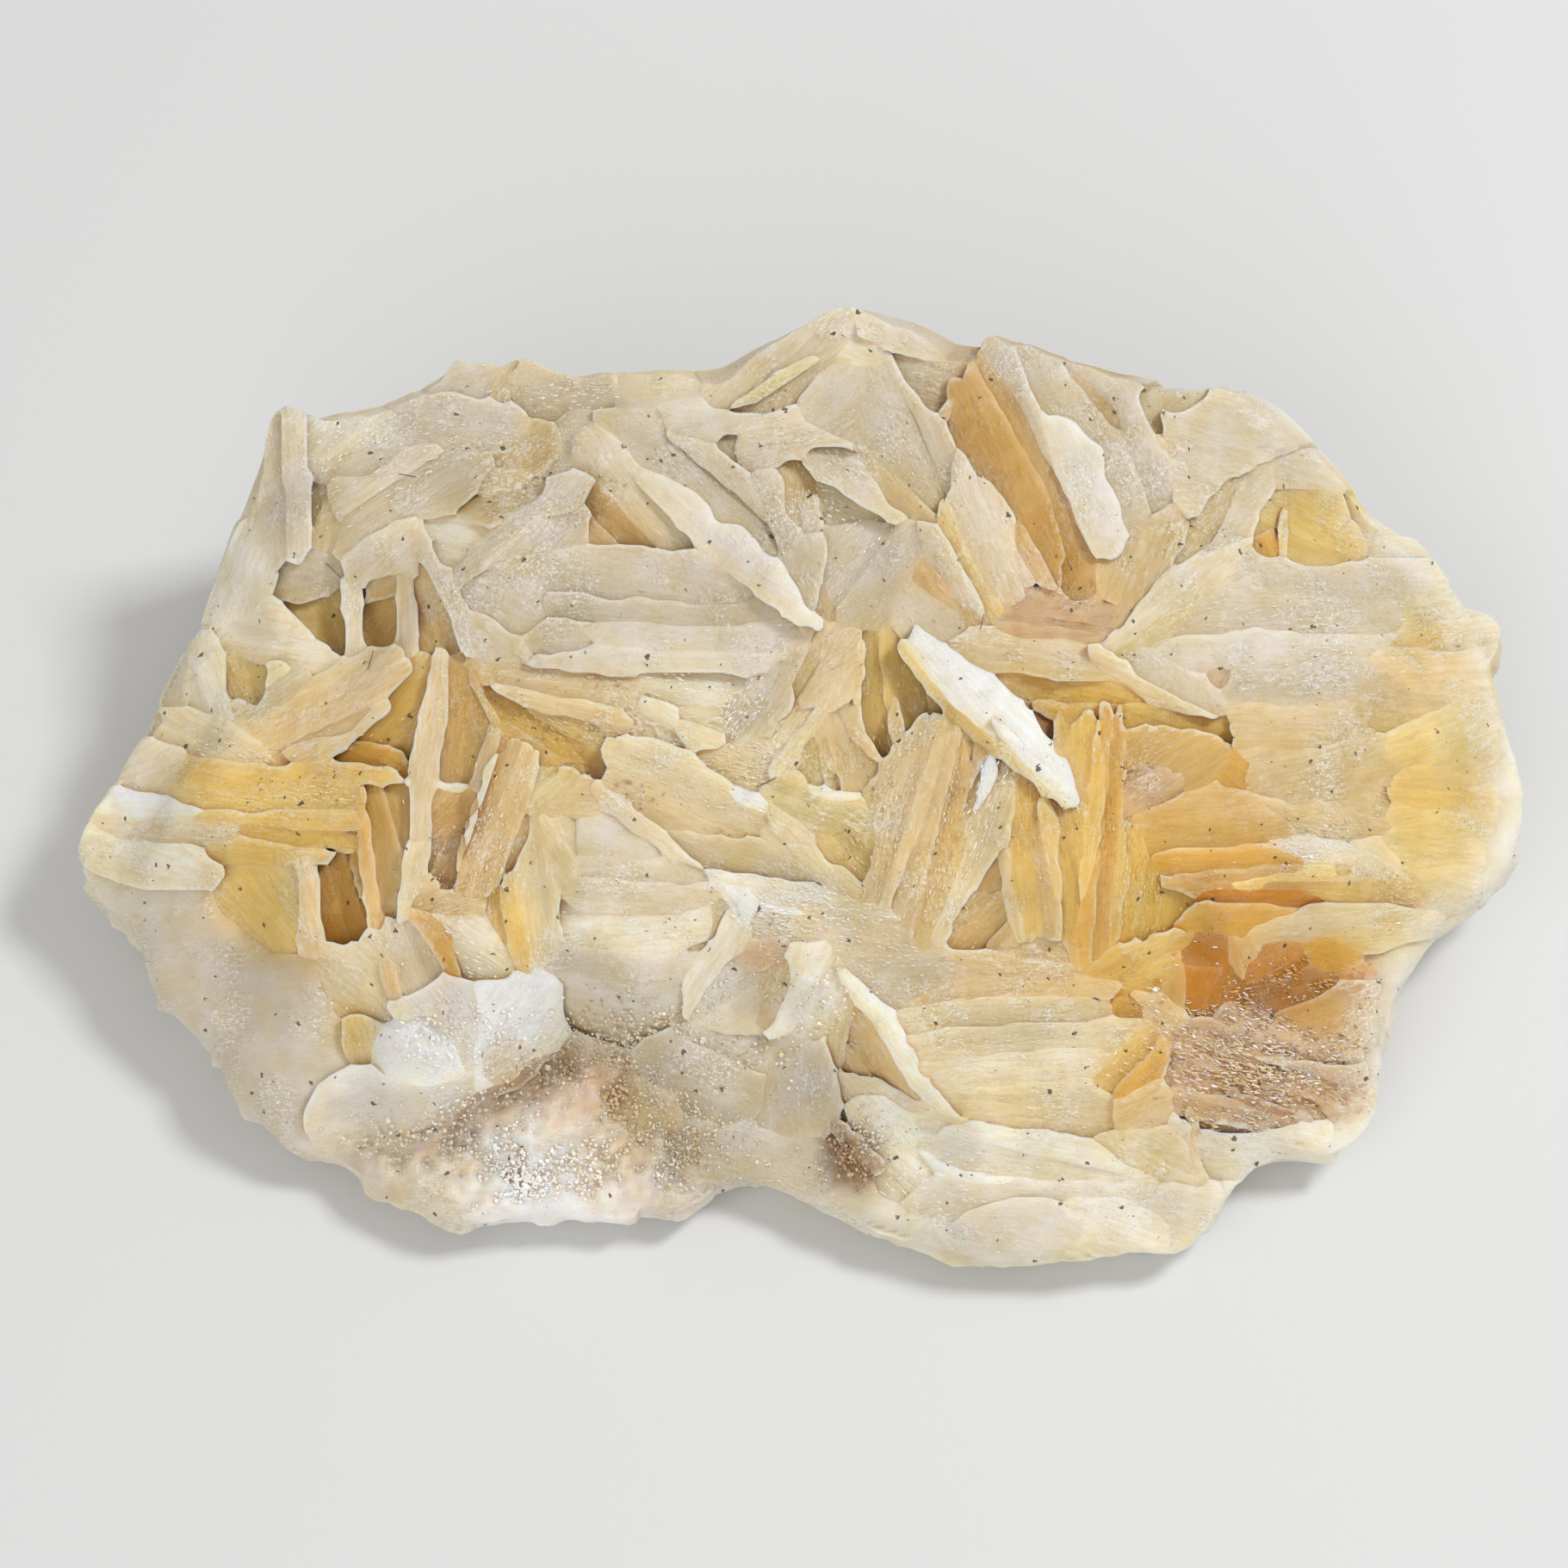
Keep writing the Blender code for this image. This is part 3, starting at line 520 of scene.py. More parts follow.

# %% [markdown]
# ## The facets
# The blades have grown into one another so closely that what shows of each is a facet: an edge, a
# broad face or a broken end, bounded by its neighbours. A facet is listed by its tint, its height
# over the general lie of the top, its rise to the right and uphill, and its corners. The corners
# are places of the leaning plane, in millimetres, region by region from the back left. A line that
# starts with a space goes on from the line before it.

# %% Facets of the blades
# The tints of the facets hold painted light and shade besides the stone's own colour: a face turned towards
# the light is often tinted whiter and one turned away more honey, and many snow facets are painted glints
# and sheen on blades that face the light.
FACETS = {
"north_west": """
grey .6 .35 0 -42.4,20.4 -42.2,22.4 -41.6,24.6 -41.7,26.4 -41.2,28 -40.2,29.2 -39.9,24 -40,20 -40.2,16.2
 -41.4,17.6
grey 1 -.1 .05 -40.3,29.2 -38.8,28.9 -38.2,28.4 -38.2,24 -37.9,20 -38,18 -39.9,16.6 -39.9,20
white .3 0 .15 -38.4,28.4 -36.5,28.1 -33.5,28.4 -32,28.9 -31.2,27.2 -33.4,26.2 -35.6,24.8 -38.2,23.4
grey -.3 0 .3 -31,27.3 -33.4,26.3 -35.6,24.8 -38.1,23.6 -37.2,23 -33.4,23.8 -30.8,25.8
milk -.8 .1 0 -38,23.4 -36.2,23.2 -35.8,20 -36.3,17.8 -37.9,17.4
pinkish 0 0 .15 -37,23.4 -33,24 -30.8,25.9 -28.4,26.4 -24,24.8 -25,22.4 -27.6,20.8 -31,20.6 -34,18.6
 -35.8,17.6 -36,20
grey .3 0 .2 -31.2,27.2 -32,28.9 -30,29.8 -27.8,30.4 -24,29.6 -22,28.4 -21,27.2 -24,26 -28.4,26.2 -30.8,25.9
grey .45 0 .1 -30,29.8 -28.4,30.9 -27.6,31.8 -26.8,32.8 -25,32.6 -23.4,32.3 -24,30.4 -24.4,29.2 -27.8,29.8
tan .3 -.1 0 -23.6,32.3 -21.8,33 -22.4,31.4 -23.2,29.8 -24.2,29.6
grey .35 0 .1 -22.8,31.6 -21.6,33 -20.6,32.8 -18.6,31.7 -15,31.6 -15.8,30 -18.6,30.4 -20.6,28.9 -22,29.8
tan -.2 0 .1 -24,25.9 -21,27.3 -19.6,26.6 -21,24.6 -23.6,24.4
pinkish .9 .1 .1 -35.8,17.4 -34,18.9 -32.8,19.7 -31,20.6 -29.8,20.2 -29.9,17.6 -29.6,15.8 -31.4,16.4
 -33.6,15.8 -35.2,15.4
tan -.2 0 .4 -33.6,16 -31.2,16.8 -30.6,14.8 -33.8,14
ochre_yellow -2.8 0 .4 -34,15 -31.2,15.2 -31.1,12 -32,10.2 -34,10
yellow -2.4 0 .4 -40,14.2 -38.6,15 -35.4,15.6 -35.3,12 -35.5,9.8 -37.4,11.2 -39.4,13
grey -.8 0 .4 -40.9,16.2 -38.4,18.2 -36.4,17.6 -35.3,15.4 -38,14 -40,14
grey .7 0 0 -35.5,16 -34.3,16.2 -33.9,12 -33.9,9.6 -35.4,9.6 -35.4,12
pinkish .6 0 0 -31.4,16.4 -30.2,16.8 -29.8,13 -29.9,9.8 -31.6,10.6 -31.3,13
grey .9 -.1 0 -30.4,20.3 -29.6,20.4 -28.2,17 -26.4,14 -25.6,12.2 -25.7,9.4 -26.6,10.4 -27.4,13 -28.6,15.6
 -30,18.2
peach -.6 .2 .2 -30.2,17.8 -28.7,15.8 -27.2,12.8 -26.4,10 -28.4,9.2 -29.8,12
ochre -1.4 .1 0 -29.8,13.4 -28.6,12 -27.6,9.4 -28.8,8.8 -29.6,10
white .2 0 .1 -29.6,20.5 -26.6,20.6 -24,19.6 -25.6,18.2 -26.8,17.2 -28.2,17.2
tan .1 -.1 .1 -26.8,20.8 -25,22.6 -24,24.4 -21.4,23.6 -20.4,22.2 -21.8,21.4 -24,19.5
grey .9 .1 .05 -26.8,16.2 -26,17.4 -24.8,18.8 -22,21 -19,22.6 -16,23.3 -16.8,21.6 -19.6,20.6 -22.4,18.8
 -24.8,16.4 -26.4,15.2
grey .3 0 .2 -24.8,16.6 -22.4,18.9 -19.6,20.7 -16.6,21.4 -16.2,18.2 -19,18 -22,16.4 -24,15
grey .1 0 .1 -26.6,15.3 -24.8,16.4 -22,16.5 -20.2,14.6 -20,12.6 -22.4,11.6 -24.6,12.8 -25.8,13.6
pinkish .5 .05 .1 -25.9,13.4 -24.4,13.2 -22.4,11.6 -20.6,9.6 -22.6,9 -25.4,9 -25.8,11
white .3 .2 0 -46.2,14 -44.6,17.5 -43.8,20 -42.6,20.5 -41.4,17.6 -40.9,16 -42,14 -44.2,12.2 -46.4,11.4
milk .2 .1 .1 -46.6,12 -44.2,13.6 -42,14.2 -40,13.4 -37.6,11.2 -35.6,9.8 -38,8.4 -41,8.6 -44.4,10.2
 -46.6,9.6
white .3 .1 0 -46.9,11.6 -45.6,12 -44.6,10 -44.4,6.6 -44,5 -47.6,5.6 -47.6,9
yellow -1.4 0 .3 -44.7,10.2 -41.2,10.2 -41.4,6.6 -42,5.8 -44.8,6.6
cream .3 0 .1 -41.4,9.8 -38,8.6 -38.6,7 -41,5 -44.4,4.6 -44.6,6.7 -41.9,5.9
grey -.4 .6 0 -47.8,10.4 -47.4,8 -47.7,5.8 -49.4,5 -49.6,3.4 -50.6,3.8 -49.6,7 -48.6,9
""",
"north": """
pinkish .5 .05 .3 -7,29.8 -4.2,32.6 -1,34.8 1.6,36.4 3.6,37.1 4.5,35.2 3.8,34.2 2.4,33.2 .2,31.4 -2.6,29.4
 -6.2,28.5
olive .9 .05 .2 -6.3,28.6 -3.4,29.5 -1.2,31 1.6,32.8 1,33.2 -1.6,32 -3.8,30.4
grey .9 -.25 .1 3.5,37.1 6.6,35.6 8,35.3 9.6,34.6 11.2,32.7 8.2,33 6,34 4.4,34.6
white .2 -.1 .2 2.3,33.3 3.8,34.3 6,34.1 7.3,32 6.2,31.4 5,32.4 3.2,32.3
pinkish -.9 0 .3 6.2,33.9 8.2,33.1 13.3,32.6 12.4,30.6 11.6,30 10.2,28.3 8.4,30.2 7.2,32
grey .4 0 .1 .2,28.2 1,30.6 3.2,32.2 5,32.4 4.9,30.4 4.2,28.8 4,26.7 2,27
grey -.2 -.05 .15 5,32.4 6.4,32.6 8.4,28.8 9.8,25.8 10.9,22.2 10.2,20.7 8.4,22.8 6.2,24.4 4,26.5 4.2,28.8
grey .5 -.1 .1 6,33.6 7,33.2 8.4,30.4 10.3,28.3 11,27.8 11.9,26 12.2,24 11.2,22.4 9.8,25.8 8.6,28.6 6.5,32.2
pinkish .4 .1 .1 11.9,26 13.2,24.4 15.2,22.5 16.8,20.7 16.4,18.6 17.9,16.2 17.2,14 15.4,13.8 14,16 12.3,19.2
 11.3,22.6
tan -.4 .1 .1 4.2,26.4 6.2,24.6 8.5,22.9 10.3,20.8 11.6,18.4 10.4,19.6 8.6,20.4 6.4,21.9 5.3,23.6
straw .1 .2 .2 10.9,22.4 11.6,20.4 12.8,17.9 14.8,14.8 15.9,13.5 14.2,13.3 12.2,17.2 10.6,20.2
grey .5 .1 -.05 0,26.4 1.4,26.4 4.4,24.7 6,23.2 6.5,21.8 8.4,20.5 7,20.2 4.4,21.6 2.4,23 1,23.5
white -1.3 0 .1 1.1,23.6 2.4,23.2 4.4,21.8 7.2,20.2 4.4,19.6 2,19.6
tan -.7 .1 0 -1.5,24.8 1.1,23.6 1.7,20.8 .2,19.2 -1.2,20.8
grey 0 .1 0 0,21.4 1.1,22.6 1.5,21 1.8,19 .2,19
pinkish .7 .1 .1 -5,26.6 -3.2,28 0,28.3 2,27.1 4,26.6 1.4,26.2 -.4,25.4 -2,24.6 -3.8,24.2 -5,24.8
lilac .3 0 .15 -10.4,28.4 -8.2,29 -6.4,28.6 -3,28.5 -3.4,27.8 -6,27 -8.2,26.4 -9.8,27
grey -1 0 0 -6.6,26.1 -5.8,27 -4.8,26.8 -4.8,24.6 -5.4,25
grey 0 .05 .12 -15,27.9 -12.4,28.2 -9.6,26.8 -6.4,26.2 -4.2,24 -2.6,22 -1.2,19.6 -2.6,17.6 -4.6,19.8
 -6.8,20.2 -7.8,21.8 -10,23.4 -12.4,24 -14.6,26.6
grey .5 -.1 0 -4.2,24.1 -2.8,24.4 -1.4,22.8 -1.2,21 -.2,19.4 1.8,19.2 2.1,17.2 1.3,15.6 1.2,14 .4,12.8
 -.2,15.6 -1.4,17.6 -2.6,20.2 -3.4,22.2
tan -1.2 0 0 1,15.8 2.3,16 2.3,13 1,13.6
lilac 1 .1 0 -15.6,26.8 -14.2,26.6 -12.2,24.3 -9.8,23.5 -7.4,21.9 -6.6,20.2 -4.6,19.9 -2.4,17.2 -.4,14.4
 1.6,11.9 0,12.4 -2.6,14.2 -4.8,16 -7.6,18.3 -9.8,19.9 -11.4,21.6 -13.2,23.8
pinkish 0 .2 .35 -16.4,26.8 -15.4,26.6 -13.2,23.9 -11.4,21.6 -9.6,19.8 -8.6,18.6 -10.6,17.6 -12.4,19.4
 -14,21.2 -15.6,23.2 -16.6,25.4
honey -.9 .1 .3 -16.6,23.2 -15.4,22.8 -13.6,20.9 -12,19.4 -11,18.2 -13.6,18.2 -16.2,17.9 -17,21
grey .1 0 .1 2,20.1 4.5,20.2 9.2,20.4 8.6,18.6 8.9,17 7.6,15.8 6.6,14 6,12.2 2.4,12 2,15
pinkish .8 0 0 8.9,20.2 10.4,20.3 12,17.7 14.2,13.5 12.8,13.4 11.2,15.4 9.4,17.8
honey -.1 .2 .2 8.7,17.2 9.8,17.8 11.4,15.4 13.2,12.8 12,12.8 10.2,14.4 8.6,15.4
grey 0 0 .1 8.5,15.7 10,14.6 12.6,12.7 11.6,11 7.4,11.4 7.2,13.6
ochre 0 .3 .2 11.5,31.8 13.4,32.4 14.8,30 16.2,27.6 17.7,25 19.3,22 20.2,19 20.4,14.2 18.5,17.4 16.8,20.4
 15.2,22.4 13.4,24.2 11.8,27 10.9,28.2 11.4,29.8
ochre .3 .3 .2 13.2,32.4 14,34 16.2,31.3 17.3,28.8 18.4,26.3 19.8,23.6 21.2,20 22.8,15.6 22.2,14.2 20.2,14.2
 20.2,18.6 19.1,21.8 17.5,24.8 16,27.4 14.6,29.8
ochre .4 .2 0 16.2,20.9 17.2,20 18.6,17.7 20,14.8 18,15.4 16.4,18.4
ochre .5 0 0 10.2,28.2 11.8,30.2 11.6,28.4 11,27.6
grey 1.2 .2 .1 13.9,34.2 14.7,34.7 15.9,33.8 16.7,33.5 17.4,31 18.4,28.8 20,25.6 19.6,23.8 18.2,26.4 17,29
 15.4,31.6 14.1,33
lilac 1.3 .1 .1 18.2,29.2 19,28.3 20.6,28.1 22,26.7 23,26.3 23,24.2 24.2,22.3 24.8,20.4 25.2,19.2 24,17.2
 23.3,17.2 22,19 20.8,22 19.5,24.2
grey .2 .1 .1 16.5,33.8 17.6,34 19.4,33 20.8,31.6 22.8,29.2 24.6,26.6 26,24 27,21.5 26.2,19 25,20 24.4,22.5
 23.2,24 23.1,26.4 22,26.9 20.8,28.2 19,28.4 17.7,30.2
ochre -.2 .1 .1 20.6,31.8 22.4,31 24,29.6 25,27.8 23.8,27.6 22.2,29.2
grey .4 .15 .1 19.4,33.1 22,32.3 24,31.4 26,31 26.2,29.2 27.7,26.2 28.8,24.4 28.4,21.6 27.4,20.4 26.8,22.6
 25.4,25.6 24.4,28.8 22.4,31
milk .6 0 0 25.2,30.2 25.9,29.7 27,28 27.9,26 27.2,26.4 26.2,28.2
grey -.8 0 0 26,29.9 27.6,29.6 27.8,27.4 27.2,27.4
matrix -.2 0 0 17,16.2 18.4,15.8 20.4,14.4 22.8,14.4 24.4,13.4 23.6,11.6 17.6,11.4 15.6,12.2 15.2,14.2
tan 0 0 0 22.6,15.6 23.4,17.4 24.6,18.4 26.6,19 25.8,16.2 24.4,13.6
""",
"east": """
pinkish .7 .05 .1 28,28.8 30,28.8 31.2,29.6 33.6,30.2 36,28.8 36.8,27.4 38.6,26.2 36.6,25 34.6,24 33,23.8
 31.8,22.2 30.4,20.4 29,21.6 28.6,24.4 28.2,26.6
grey -1 0 .2 27.9,30.1 29.2,30.2 31.2,30.4 30.4,29 28,28.7
cream -.6 .1 .1 33.4,24.4 34.4,23.8 33.4,21.8 32,19 30,17.4 28.4,16.6 29.4,18.8 30.2,20.6 31.6,22.4
tan .2 .1 .1 26.8,20.4 28.6,21.4 30.2,20.2 29.6,18.6 28,16.4 26,14 24.6,12.2 24.4,14 25.8,17
grey .5 .1 -.1 34.2,24.2 36.6,25 36.8,22.8 35.2,20.8 33.6,18.6 31,17.8 32.2,19.4 33.4,21.8
pinkish .3 0 .1 36.4,25.2 38.8,26.2 41.2,24 40.6,22.8 38.4,22.6 36.6,22.8
yellow -1 0 0 36.6,22.8 38.6,22.8 40.4,22.4 41.6,20 43.2,17.4 40.6,16.8 38.2,17 36.8,18 35.4,18.2 35.2,20.8
orange -.9 0 0 35.2,18.8 36.4,20.2 36.9,19 36.8,17.7 35.6,17.9
yellow .4 -.1 0 36.9,21.2 37.7,21.6 37.7,17.6 36.9,17.6
pinkish .8 .05 -.05 34,18.4 31,17.8 28,16.2 26,13.6 23.8,10.6 25,10.9 27.4,12.6 30,14.2 33.4,16.4 34.6,17.4
olive .4 0 .1 34.4,16.8 31.6,14.6 29,12 26.2,10.4 24.6,10.2 26.6,12.6 30,14.6 33,16.6
grey .5 0 .1 33.6,17.8 36,17.2 40,16.8 44,16.6 47.6,16.4 49.6,15.4 48,14.2 42,14.2 36,14.6 33.4,15.6
pinkish .3 0 .15 34.4,16.4 36,14.8 42,14.3 47.4,13.8 47.4,12.6 45.4,11.4 40,11.6 34,11.8 30.6,11.2 28.8,11.6
 31.4,14.2
olive .5 0 .1 47,14.2 50.4,15.8 51.4,13.6 53,13.2 54,12.2 50,12.8 48,12 45.8,11 46.8,12.6
ochre_yellow .2 0 .15 45.8,11.2 48,12 50.2,12.9 53.9,12 53.6,10.6 50,10.2 46.4,10.4
peach .6 0 .1 44.2,10 46.4,10.6 50,10.3 53.6,10.6 53,8.8 52.8,7.4 50.6,7 49.2,6.8 47.6,7 46,8 44.4,8.8
lilac .3 0 .1 28.6,11.4 31,11.4 34,11.9 40,11.6 45.4,11.4 44.2,10 41,10 37,8.6 33.6,9 30,8.6 27.6,9.4
grey .4 .05 .1 25.6,10.4 27.6,10 30,8.8 32.6,7 33.2,5.2 30,5.6 28,6.4 25.4,8
matrix -.6 0 .1 31.2,8 32.4,9.8 33.4,9.6 33.2,7.4 31.6,6.2
grey .2 0 .1 33.4,9.2 37,8.7 41,10 44.2,9.8 44.8,8.4 42,6.2 38,5.6 34.2,6 33,7
tan .3 0 .12 33.6,6.4 38,6 42,6.4 44,4.4 40,2.6 36,2.4 33.4,3.2 33,4.8
tan .2 -.05 .1 42,6.4 44.6,8.6 46.6,7.8 49.2,6.8 50.4,5.8 47,4.2 44,4.2
straw .4 -.05 .1 46.4,4.6 50.2,6 52.6,6.2 53,4 52.6,1.4 50,1 48,1.6 45.6,1.6 44.8,3
tan .2 0 .1 34.6,2.8 40,2.8 44.4,4.2 45.6,2 45.8,.2 42,-1.4 38,-1.6 34.4,-.6
orange -.2 0 .1 31.8,1.6 33.4,2 34.8,1 34.6,-.6 32.4,-.4
ochre_yellow .6 0 .1 45.8,.2 47.4,.9 49,1.4 50.2,.8 52,0 53.2,-1.6 50.4,-2 47,-1.8 45.2,-.8
straw .4 0 .12 45.4,-1.4 47,-1.8 50.4,-2 52.8,-2.2 51.6,-4.2 48.4,-4.4 45.4,-3.6
straw .4 0 .12 45.4,-3.8 48.4,-4.3 51.6,-4.2 51.8,-6 49,-6.6 46,-6.4 43.8,-5
straw .3 0 .12 46.2,-6.4 49,-6.6 51.8,-6.2 51.6,-8 49.8,-9.2 47.6,-9.6 47.6,-7.8
tan .3 0 .12 34.4,-.8 38,-1.6 42,-1.4 45.4,0 45.6,-3.6 42,-4.4 38,-3.8 35,-3.2
white .6 0 .1 36.2,-4.8 38.6,-4.3 41.6,-4.6 44,-5.6 42,-5.5 39.6,-5.5 37.6,-5.5
cream .4 0 .1 42.2,-4.4 44.6,-4.2 46.4,-6.2 47.8,-7.6 44.6,-7.2 42.2,-7 43.4,-5.6
honey .4 .05 .2 25.2,-2.4 28.6,-1.4 32.6,0 34.6,-.6 36.4,-1.4 33.6,-2.6 30,-3.4 26.4,-3.8
honey .1 .05 .25 24.8,-4 28,-3.2 32,-2.2 36.2,-1.6 38.2,-3.8 34.6,-4.6 30,-4.8 25.6,-5.4
orange .2 .05 .3 25,-6.6 28.4,-5.4 33.2,-5.2 36.4,-4.8 38.8,-6 34.6,-6.6 29,-6.8
ochre .5 0 .3 27.6,-8 30.4,-6.9 35,-6.4 40,-6.9 44,-7.2 40,-8 34,-8 29.4,-8.6
yellow .9 0 .2 31.6,-8.2 35.8,-7.1 41,-7 46.4,-7.3 41,-7.7 36,-7.7
amber 0 0 .3 29.6,-8.9 33,-8.4 38,-8.5 41.6,-8.9 38.4,-9.5 34,-9.3
ochre_yellow .4 0 .2 38.4,-8.2 42,-7.7 47.6,-7.6 47.9,-9.8 44.4,-9 41,-9.2
orange .3 0 .3 29,-10.6 31,-9.2 35,-9.5 38.6,-9.6 36.4,-10.6 33,-11.6 30,-11.8
cream .6 0 .2 34.6,-11.2 38,-9.9 41,-9.3 44.6,-9.1 47.8,-9.9 44.6,-10.6 41.6,-11.6 38,-12.3 35.4,-12.2
yellow .6 0 .2 41.4,-11.7 44.4,-10.7 47.9,-9.9 48.6,-10.9 45.8,-11.4 43.2,-12.4
""",
"west": """
peach .5 .05 .1 -44.4,4.6 -41.2,5.2 -38.6,7.2 -36,9.2 -33.4,10.6 -30.2,10.4 -30.6,8.6 -32,6.4 -34.4,4.6
 -36.2,2.6 -38.6,1.6 -41.6,1.4 -44,2.6
peach .8 .05 .2 -40.4,2.6 -37.6,3.6 -35.4,3.8 -33.4,5.8 -32,6.8 -31.6,6 -34,4 -36,2.2 -38.8,1.3
ochre_yellow -1 .1 .2 -35.8,2.8 -34,4.6 -32,6.6 -30.6,9.6 -28.8,10.4 -29.2,7 -29.9,4 -30.3,1.6 -33.6,1.8
orange -1.4 .1 .2 -36.2,2.6 -34,3.4 -30.6,2.6 -30.4,.2 -36,.3
cream .2 0 .15 -49.6,5.8 -47.6,6 -44.4,4.8 -41.6,3 -40.8,1.6 -44,1.4 -48,2.2 -50.2,3.2
pinkish .5 .2 .2 -51.6,3 -49.8,3.4 -47.6,2.6 -48.4,.4 -49.8,-.6 -52.4,0 -52.4,1.4
ochre_yellow .3 0 .15 -48.6,2.4 -44,1.7 -39.6,1.3 -36,1.8 -31,1.2 -30.2,.1 -36,.1 -41,-.3 -46,-.8 -48.6,-.6
yellow .1 0 .15 -48.8,-.4 -44,-.7 -38.4,-.4 -34.4,-.3 -34.2,-1.8 -38,-2 -44,-2.1 -48.4,-1.8
snow .7 .1 .2 -53.2,-.6 -51.6,-.9 -48.8,-1.4 -46,-2.1 -48,-2.7 -51.6,-2.8 -53.8,-2
ochre_yellow .3 0 .2 -47.6,-2 -42,-2.2 -36,-2.1 -34.1,-2.4 -34,-3.8 -38.6,-3.6 -43,-3.1 -47.4,-2.8
ochre_yellow -.3 0 .2 -43.6,-3.3 -38.6,-3.6 -34,-4 -33.9,-5.2 -38,-5 -41.6,-4.4
cream .2 0 .15 -54.4,-2.4 -51.8,-2.8 -47.4,-2.9 -43.4,-3.3 -44.6,-4.6 -49,-4.6 -53.2,-4.2
ochre_yellow .1 0 .2 -46.4,-4.9 -42.6,-4.5 -38,-5 -36,-5.2 -37,-6.2 -41,-6.7 -45,-6.4
white .5 .1 .1 -54.8,-4 -51,-4.6 -46.4,-5 -44.6,-6.6 -47.4,-7.4 -51.6,-6.8 -55,-5.6
yellow -.4 0 .2 -44.8,-6.4 -41,-6.8 -38.6,-6.2 -38.4,-9.6 -40,-12.2 -42.4,-10.2 -44.4,-8.6
peach .5 0 0 -39.4,-5.6 -37.8,-5.5 -37.2,-9 -37.2,-12.8 -38.8,-12 -38.8,-8.6
orange -2.4 0 .4 -37.8,-4.8 -35.6,-4.4 -33.9,-5 -33.6,-10 -35,-12.8 -36.8,-11.8 -37.6,-9
orange -.6 .2 0 -35.4,-3.8 -34,-3.8 -33.6,-10.2 -34.6,-7.6
orange .2 .1 0 -34.6,-.3 -33.8,-.2 -33.3,-3.4 -32.9,-7.4 -32.4,-10.4 -33,-11.4 -33.9,-9.6 -34.3,-5.6
honey -.6 .1 0 -33.9,-.3 -30.4,-.4 -30.7,-4 -31,-8 -31.3,-10.4 -32.4,-10.3 -33,-7 -33.4,-3.4
brown -2.4 0 0 -31.7,-3.6 -31,-3.6 -31.1,-7.2 -31.7,-7.4
tan .9 0 0 -28.4,10.6 -27.3,10.2 -27.4,6 -27.7,3.6 -28.1,1 -28.6,-1.4 -29,-4.4 -30.4,-4.6 -30.4,-.6 -30.2,2
 -29.6,5 -29.1,8
cream .8 -.1 0 -30.5,-4.4 -29,-4.2 -28.9,-6.8 -30.4,-9.6 -31.2,-11.4 -31.2,-8.4 -30.8,-6.4
snow 1 0 .1 -30.8,.5 -29.6,.3 -25.6,-.1 -26,-.5 -29.8,-.3
honey -.5 .1 .1 -27.4,10.2 -26.2,9.6 -25.2,7.4 -24.4,5.2 -24.5,3.4 -25.6,-.2 -28.2,-.4 -28,1.4 -27.6,3.6
 -27.3,6
ochre -1 .1 .1 -26.8,9.6 -26.3,9.4 -26.3,6.4 -26.8,6.2
honey .4 0 0 -26.2,9.6 -25.4,9.4 -24.9,7.8 -23.4,4.6 -22.5,3 -23,3 -24.6,5.8 -26,8.4
cream .4 0 0 -24,4.9 -23.4,3.9 -23.6,1.8 -24.4,-.4 -25.8,-.7 -25.4,1 -24.7,3.2
ochre -.8 0 0 -23.5,3.9 -22.3,3.4 -23,1.6 -24.3,0 -23.7,2
ochre_yellow -.4 .1 .3 -24.6,7.2 -22,6.3 -20,4.6 -18,3.4 -16.8,1.8 -18.8,1.4 -20.4,1.8 -21,3 -22.8,3 -23.6,5
ochre -.9 .1 .3 -21,4.6 -19,4.4 -16.6,3.2 -15.6,1 -18.4,1.6 -20.2,1.8
honey -.5 0 .1 -28.6,-.5 -25.2,-.7 -25.8,-2.6 -26.6,-4 -28.8,-4.4
peach .6 .05 .05 -24.6,1.4 -22.4,3.4 -20.8,3 -20.2,1.2 -21.4,-1.6 -21,-3.6 -21.8,-5.6 -22.6,-6.2 -23.4,-8.2
 -25.4,-9 -26.8,-7.8 -26,-4 -25,-1.2
orange .3 .2 0 -25.4,-1 -24.6,-1.4 -24.4,-4.4 -25.2,-7.4 -26.8,-8.2 -26.8,-5.6 -26,-3.2
matrix -1.4 .1 .2 -26.2,-2 -25.8,-4.4 -26.4,-7 -27.8,-8.4 -28.9,-6.6 -28.6,-4.2 -27.4,-2.4
peach 0 0 .1 -28.9,-6.9 -27.6,-8.6 -25.6,-9 -24.2,-8.4 -24.6,-10 -26.4,-10.6 -28.4,-10.2 -30.2,-9.4
olive .5 -.1 .1 -22.3,0 -20.2,1 -17.6,1.3 -17.4,-.2 -19.2,-1.2 -20.4,-2.4 -21.8,-2.4
tan .1 0 .1 -19.2,-.9 -16.6,.1 -16.2,-1.4 -15.6,-2.6 -18.4,-2.7 -20.2,-2.4
cream .3 0 .1 -20.4,-2.5 -17.6,-2.6 -17.5,-5 -17,-8.4 -18.2,-8.9 -19.4,-7 -19.9,-5
cream .5 .1 0 -21.6,-2.4 -20.3,-2.5 -19.9,-5.8 -18.8,-9.6 -18.6,-13 -20.4,-14.6 -21.6,-11.4 -22.4,-7
 -21.8,-5.2
ochre_yellow .2 .2 .1 -23.8,-8.1 -22.4,-6.6 -21.8,-9.4 -21.2,-12.4 -20.8,-15 -22.2,-14.2 -23.4,-11.8
 -24.6,-9.8
orange .4 -.1 .1 -30.4,-9.8 -28.6,-10.2 -27.4,-11.6 -26.6,-14 -26.4,-15.2 -27.6,-14.2 -29.2,-12
